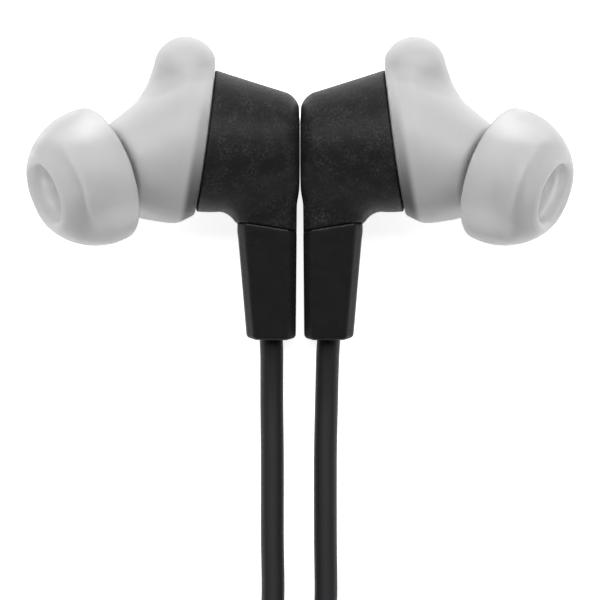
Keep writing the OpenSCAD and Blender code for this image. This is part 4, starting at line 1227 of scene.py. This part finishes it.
LEFT_RUN = (
    (-2.55, -15, 1.6), (-2.55, -19, 1.15), (-2.5, -24, 1.1), (-2.5, -31, 1.1), (-2.5, -38, 1.1),
    (-3.4, -43, 1.1), (-6.2, -47.6, 1.15), (-9.8, -51.6, 1.3), (-12.4, -55.6, 1.45), (-13.4, -59, 1.55),
)
RIGHT_RUN = (
    (2.5, -15, 1.6), (2.4, -19, 1.15), (2.3, -24, 1.1), (2.3, -31, 1.1), (2.3, -38, 1.1),
    (1.6, -42.5, 1.15), (-0.6, -46.6, 1.6), (-4.2, -49.6, 2.6), (-8.2, -52, 3.5), (-11.6, -54.8, 4),
    (-13.3, -58, 4.15),
)
LEFT_TAIL = ((-13.5, -69, 6.7), (-13.7, -73, 6), (-14.2, -77, 4.6), (-14.7, -81, 3.2))
RIGHT_TAIL = ((-13.4, -69, 9.3), (-13.2, -73, 8.5), (-12.8, -77, 6.6), (-12.3, -81, 4.2))
LEAD_ROUTE = ((-13.5, -101, 2.2), (-13.5, -104.5, 1.8))
TAIL_ROUTE = (
    (18.4, -104, 10.3), (18.1, -100, 9.4), (17.9, -96, 7.6), (17.9, -92, 5.7), (18.1, -88, 4.4),
)
BRANCH_COIL_AT = (0, -63)
MAIN_COIL_AT = (2.5, -110)
SPLITTER_AT = (-13.5, -85, 2.6)
PLUG_AT = (18.6, -84, 3.9)
BRANCH_TURNS, BRANCH_LAYERS = 1.75, 2
MAIN_TURNS, MAIN_LAYERS = 2.25, 4
POINTS_PER_TURN = 72
UP, DOWN = Vector((0, 1, 0)), Vector((0, -1, 0))


def coil(at, z, outer, pitch, turns, layers, step):
    """Points of spirals that wind in and out in turn, with a half turn of climb between layers."""
    inner = outer - pitch * turns
    points = []
    for k in range(round((turns * layers + (layers - 1) / 2) * POINTS_PER_TURN) + 1):
        u = k / POINTS_PER_TURN
        layer = min(math.floor(u / (turns + 0.5)), layers - 1)
        v = u - layer * (turns + 0.5)
        inwards = layer % 2 == 0
        if v <= turns:
            radius, climb = (outer - pitch * v if inwards else inner + pitch * v), 0
        else:
            w = (v - turns) / 0.5
            bulge = pitch / 2 * (w - w * w)
            radius, climb = (inner - bulge if inwards else outer + bulge), w * w * (3 - 2 * w)
        a = math.pi + 2 * math.pi * u
        x, y = at[0] + radius * math.cos(a), at[1] + radius * math.sin(a)
        points.append(Vector((x, y, z + (layer + climb) * step)))
    return points


def smooth_route(points, first, last, spacing=0.8):
    """A smooth curve through route points, with its directions at the two ends given."""
    points = [Vector(p) for p in points]
    slopes = [(b - a) / 2 for a, b in zip(points, points[2:])]
    slopes.insert(0, Vector(first).normalized() * (points[1] - points[0]).length)
    slopes.append(Vector(last).normalized() * (points[-1] - points[-2]).length)
    gaps = [(b - a).length for a, b in zip(points, points[1:])]
    found = []
    for i, gap in enumerate(gaps):
        ends = []
        for k in (i, i + 1):
            around = gaps[max(k - 1, 0) : k + 1]
            ends.append(slopes[k] * min(1, gap * len(around) / sum(around)))
        steps = max(2, round(gap / spacing))
        for t in (k / steps for k in range(steps)):
            h = (2 * t**3 - 3 * t**2 + 1, t**3 - 2 * t**2 + t, 3 * t**2 - 2 * t**3, t**3 - t**2)
            found.append(h[0] * points[i] + h[1] * ends[0] + h[2] * points[i + 1] + h[3] * ends[1])
    return found + [points[-1]]


def cord_mesh(name, path, diameter, sides=20):
    """Round tube along a path in millimetres, with a UV map that runs round and along it."""
    points, along_it = [], [0]
    side = Vector((0, 0, 1))
    for i, p in enumerate(path):
        ahead = (path[min(i + 1, len(path) - 1)] - path[max(i - 1, 0)]).normalized()
        side = (side - ahead * side.dot(ahead)).normalized()
        other = ahead.cross(side)
        if i:
            along_it.append(along_it[-1] + (p - path[i - 1]).length)
        for a in (2 * math.pi * k / sides for k in range(sides)):
            points.append((p + (side * math.cos(a) + other * math.sin(a)) * diameter / 2) * MM)
    faces = ring_faces(len(path), sides, closed=False)
    faces += [range(sides), range(len(points) - sides, len(points))]
    piece = add_piece(name, points, faces, sharp=math.radians(60))
    layer = piece.data.uv_layers.new(name="along")
    for polygon in piece.data.polygons:
        near_seam = any(i % sides > sides / 2 for i in polygon.vertices)
        for loop, i in zip(polygon.loop_indices, polygon.vertices):
            u = 1.0 if i % sides == 0 and near_seam else i % sides / sides
            layer.data[loop].uv = (u, along_it[i // sides])
    return piece


def cord_paths(s):
    """Centrelines of the left branch, the right branch and the main cord, in millimetres."""
    c = s.cord
    mouth = Vector((stem_axis(s), -s.housing.stem_len - s.boot.length, 0))
    low_z = c.tie_t + c.tie_gap
    paths = {}
    routes = (("left", LEFT_RUN, LEFT_TAIL, -1, 0), ("right", RIGHT_RUN, RIGHT_TAIL, 1, c.branch_layer))
    for side, run, tail, sign, lift in routes:
        placing = Matrix.Scale(1 / MM, 4) @ earpiece_placing(s, side)
        start = placing @ mouth
        heading = placing @ (mouth + DOWN) - start
        z = low_z + c.branch_d / 2 + lift
        winding = (c.branch_pitch, BRANCH_TURNS, BRANCH_LAYERS, 2 * c.branch_layer)
        loops = coil(BRANCH_COIL_AT, z, c.branch_coil_radius, *winding)
        loops = [loops[0] + UP * c.branch_d, *loops, loops[-1] + DOWN * c.branch_d]
        end = Vector(SPLITTER_AT) + Vector((sign * s.splitter.entry, 0, 0))
        before = smooth_route([start, *run, loops[0]], heading, DOWN)
        paths[side] = before[:-1] + loops + smooth_route([loops[-1], *tail, end], DOWN, DOWN)[1:]
    winding = (c.main_pitch, MAIN_TURNS, MAIN_LAYERS, c.main_layer)
    loops = coil(MAIN_COIL_AT, low_z + c.main_d / 2, c.main_coil_radius, *winding)
    loops = [loops[0] + UP * c.main_d, *loops, loops[-1] + UP * c.main_d]
    start = Vector(SPLITTER_AT) + DOWN * s.splitter.length
    along_plug = Vector((math.sin(s.plug.turn), math.cos(s.plug.turn), 0))
    before = smooth_route([start, *LEAD_ROUTE, loops[0]], DOWN, DOWN)
    after = smooth_route([loops[-1], *TAIL_ROUTE, PLUG_AT], UP, along_plug)
    paths["main"] = before[:-1] + loops + after[1:]
    return paths


class EARPHONES_OT_cords(bpy.types.Operator):
    """Lay the two branch cords and the main cord, each in one piece."""

    bl_idname = "earphones.cords"
    bl_label = "Cords"

    def execute(self, context):
        s = sizes(context)
        branch = (s.cord.branch_d, "_branch_cord", ("branch_run", "branch_coil", "branch_tail"))
        main = (s.cord.main_d, "_cord", ("lead", "coil", "tail"))
        for side, path in cord_paths(s).items():
            diameter, name, nodes = main if side == "main" else branch
            piece = cord_mesh(side + name, path, diameter)
            dress(piece, "cord_jacket", CABLE_SET, *(f"{side}_{node}" for node in nodes))
        return {"FINISHED"}


def outline(points):
    """Convex outline of points in a plane, anticlockwise."""
    found = []
    for order in (sorted(points), sorted(points, reverse=True)):
        half = []
        for p in order:
            while len(half) > 1 and (half[-1] - half[-2]).cross(Vector(p) - half[-1]) <= 1e-9:
                half.pop()
            half.append(Vector(p))
        found.extend(half[:-1])
    return found


def strap_path(c, lines, placing, low, high, d):
    """Outline in distance and height round every cord that runs through a tie."""
    reach = c.tie_w / 2 + 0.5
    turn = placing.inverted()
    rounds = arc((0, 0), d / 2 + c.tie_gap + c.tie_t / 2, 0, 360, 32)[:-1]
    points = []
    for q in (turn @ p for line in lines for p in line):
        if abs(q.y) < reach and low < q.x < high:
            points.extend((q.x + u, q.z + v) for u, v in rounds)
    return outline(points)


def strap_mesh(c, path, placing, start):
    """Points and faces of a flat band with round edges along a closed path."""
    half, thin = c.tie_w / 2 - c.tie_t / 2, c.tie_t / 2
    section = [(half, -thin), *arc((half, 0), thin, -90, 90, 4)[1:-1], (half, thin)]
    section += [(-half, thin), *arc((-half, 0), thin, 90, 270, 4)[1:-1], (-half, -thin)]
    points = []
    for i, p in enumerate(path):
        ahead = (path[(i + 1) % len(path)] - path[i - 1]).normalized()
        for across, away in section:
            q = p + Vector((ahead.y, -ahead.x)) * away
            points.append(placing @ Vector((q.x, across, q.y)))
    faces = [[i + start for i in face] for face in ring_faces(len(path), len(section))]
    return points, faces


class EARPHONES_OT_cable_ties(bpy.types.Operator):
    """Build the four ties round the coils."""

    bl_idname = "earphones.cable_ties"
    bl_label = "Cable ties"

    def execute(self, context):
        s = sizes(context)
        c = s.cord
        left, right, main = cord_paths(s).values()
        branch_depth, main_depth = c.branch_pitch * BRANCH_TURNS, c.main_pitch * MAIN_TURNS
        coils = (
            (BRANCH_COIL_AT, (60, 300), c.branch_coil_radius, branch_depth, c.branch_d, (left, right)),
            (MAIN_COIL_AT, (90, 270), c.main_coil_radius, main_depth, c.main_d, (main,)),
        )
        points, faces = [], []
        for at, angles, outer, depth, d, lines in coils:
            for degrees in angles:
                placing = Matrix.Translation((*at, 0)) @ Matrix.Rotation(math.radians(degrees), 4, "Z")
                path = strap_path(c, lines, placing, outer - depth - d / 2, outer + d / 2, d)
                strap = strap_mesh(c, path, placing, len(points))
                points += strap[0]
                faces += strap[1]
        piece = add_piece("coil_ties", points, faces, Matrix.Scale(MM, 4))
        dress(piece, "tie_rubber", CABLE_SET, "cable_ties")
        return {"FINISHED"}


class EARPHONES_OT_inner_parts(bpy.types.Operator):
    """Give the pieces inside the housings, the boots and the splitter their materials."""

    bl_idname = "earphones.inner_parts"
    bl_label = "Inner parts"

    def execute(self, context):
        slots = {row["node"]: row["material_slot"] for row in frame["record"]["subparts"]}
        slots["splitter_crimp"] = "pole_steel"
        for name, node in frame["nodes"].items():
            if not node.hide_render:
                node.data.materials.clear()
                node.data.materials.append(finishes()[slots[name]])
        return {"FINISHED"}


# Stage

KEY_PLACE = (0, 0.34, 0.75)  # of the key light's middle, in metres
KEY_SIZE = (1.4, 0.35)  # its width and depth, in metres


class EARPHONES_OT_stage(bpy.types.Operator):
    """Set the camera, the floor and the lights."""

    bl_idname = "earphones.stage"
    bl_label = "Stage"

    def execute(self, context):
        s = sizes(context).stage
        camera = bpy.data.cameras.new("camera")
        camera.lens = camera.sensor_width * s.distance / s.picture
        holder = show("camera", camera)
        holder.location = Vector((0, s.look_y, s.focus_height + s.distance)) * MM
        context.scene.camera = holder
        half = s.floor * MM / 2
        corners = [(-half, -half, 0), (half, -half, 0), (half, half, 0), (-half, half, 0)]
        mesh = bpy.data.meshes.new("floor")
        mesh.from_pydata(corners, [], [(0, 1, 2, 3)])
        mesh.materials.append(opal_panel(s))
        show("floor", mesh)
        light = bpy.data.lights.new("key_light", "AREA")
        light.shape = "RECTANGLE"
        light.size, light.size_y = KEY_SIZE
        light.energy = s.key_power
        key = show("key_light", light)
        key.location = KEY_PLACE
        key.rotation_mode = "QUATERNION"
        away = Vector((0, s.look_y * MM, 0)) - key.location
        key.rotation_quaternion = away.to_track_quat("-Z", "Y")
        world = bpy.data.worlds.new("studio")
        world.use_nodes = True
        background = world.node_tree.nodes["Background"].inputs
        background["Color"].default_value = (1, 1, 1, 1)
        background["Strength"].default_value = s.fill
        context.scene.world = world
        context.scene.view_settings.view_transform = "Standard"
        return {"FINISHED"}


class EARPHONES_PT_panel(bpy.types.Panel):
    """Sizes, colours and build steps of the earphones"""

    bl_label = "Wired earphones"
    bl_idname = "EARPHONES_PT_panel"
    bl_space_type = "VIEW_3D"
    bl_region_type = "UI"
    bl_category = "Earphones"

    def draw(self, context):
        for step in STEPS:
            self.layout.operator(step.bl_idname, text=step.bl_label)
        for name in GROUPS:
            group = getattr(context.scene, PREFIX + name)
            box = self.layout.box()
            for key in group.bl_rna.properties.keys():
                if key not in ("rna_type", "name"):
                    box.prop(group, key)


STEPS = (
    EARPHONES_OT_stage,
    EARPHONES_OT_rear_shells,
    EARPHONES_OT_front_shells,
    EARPHONES_OT_nozzle_screens,
    EARPHONES_OT_gel_sleeves,
    EARPHONES_OT_ear_tips,
    EARPHONES_OT_boots,
    EARPHONES_OT_splitter,
    EARPHONES_OT_plug,
    EARPHONES_OT_cable_ties,
    EARPHONES_OT_cords,
    EARPHONES_OT_inner_parts,
)
CLASSES = (*GROUPS.values(), *STEPS, EARPHONES_PT_panel)


def register():
    for cls in CLASSES:
        bpy.utils.register_class(cls)
    for name, group in GROUPS.items():
        setattr(bpy.types.Scene, PREFIX + name, bpy.props.PointerProperty(type=group))


def unregister():
    for name in GROUPS:
        delattr(bpy.types.Scene, PREFIX + name)
    for cls in reversed(CLASSES):
        bpy.utils.unregister_class(cls)


def main():
    register()
    for step in STEPS:
        category, name = step.bl_idname.split(".")
        getattr(getattr(bpy.ops, category), name)()
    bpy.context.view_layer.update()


if __name__ == "__main__":
    main()
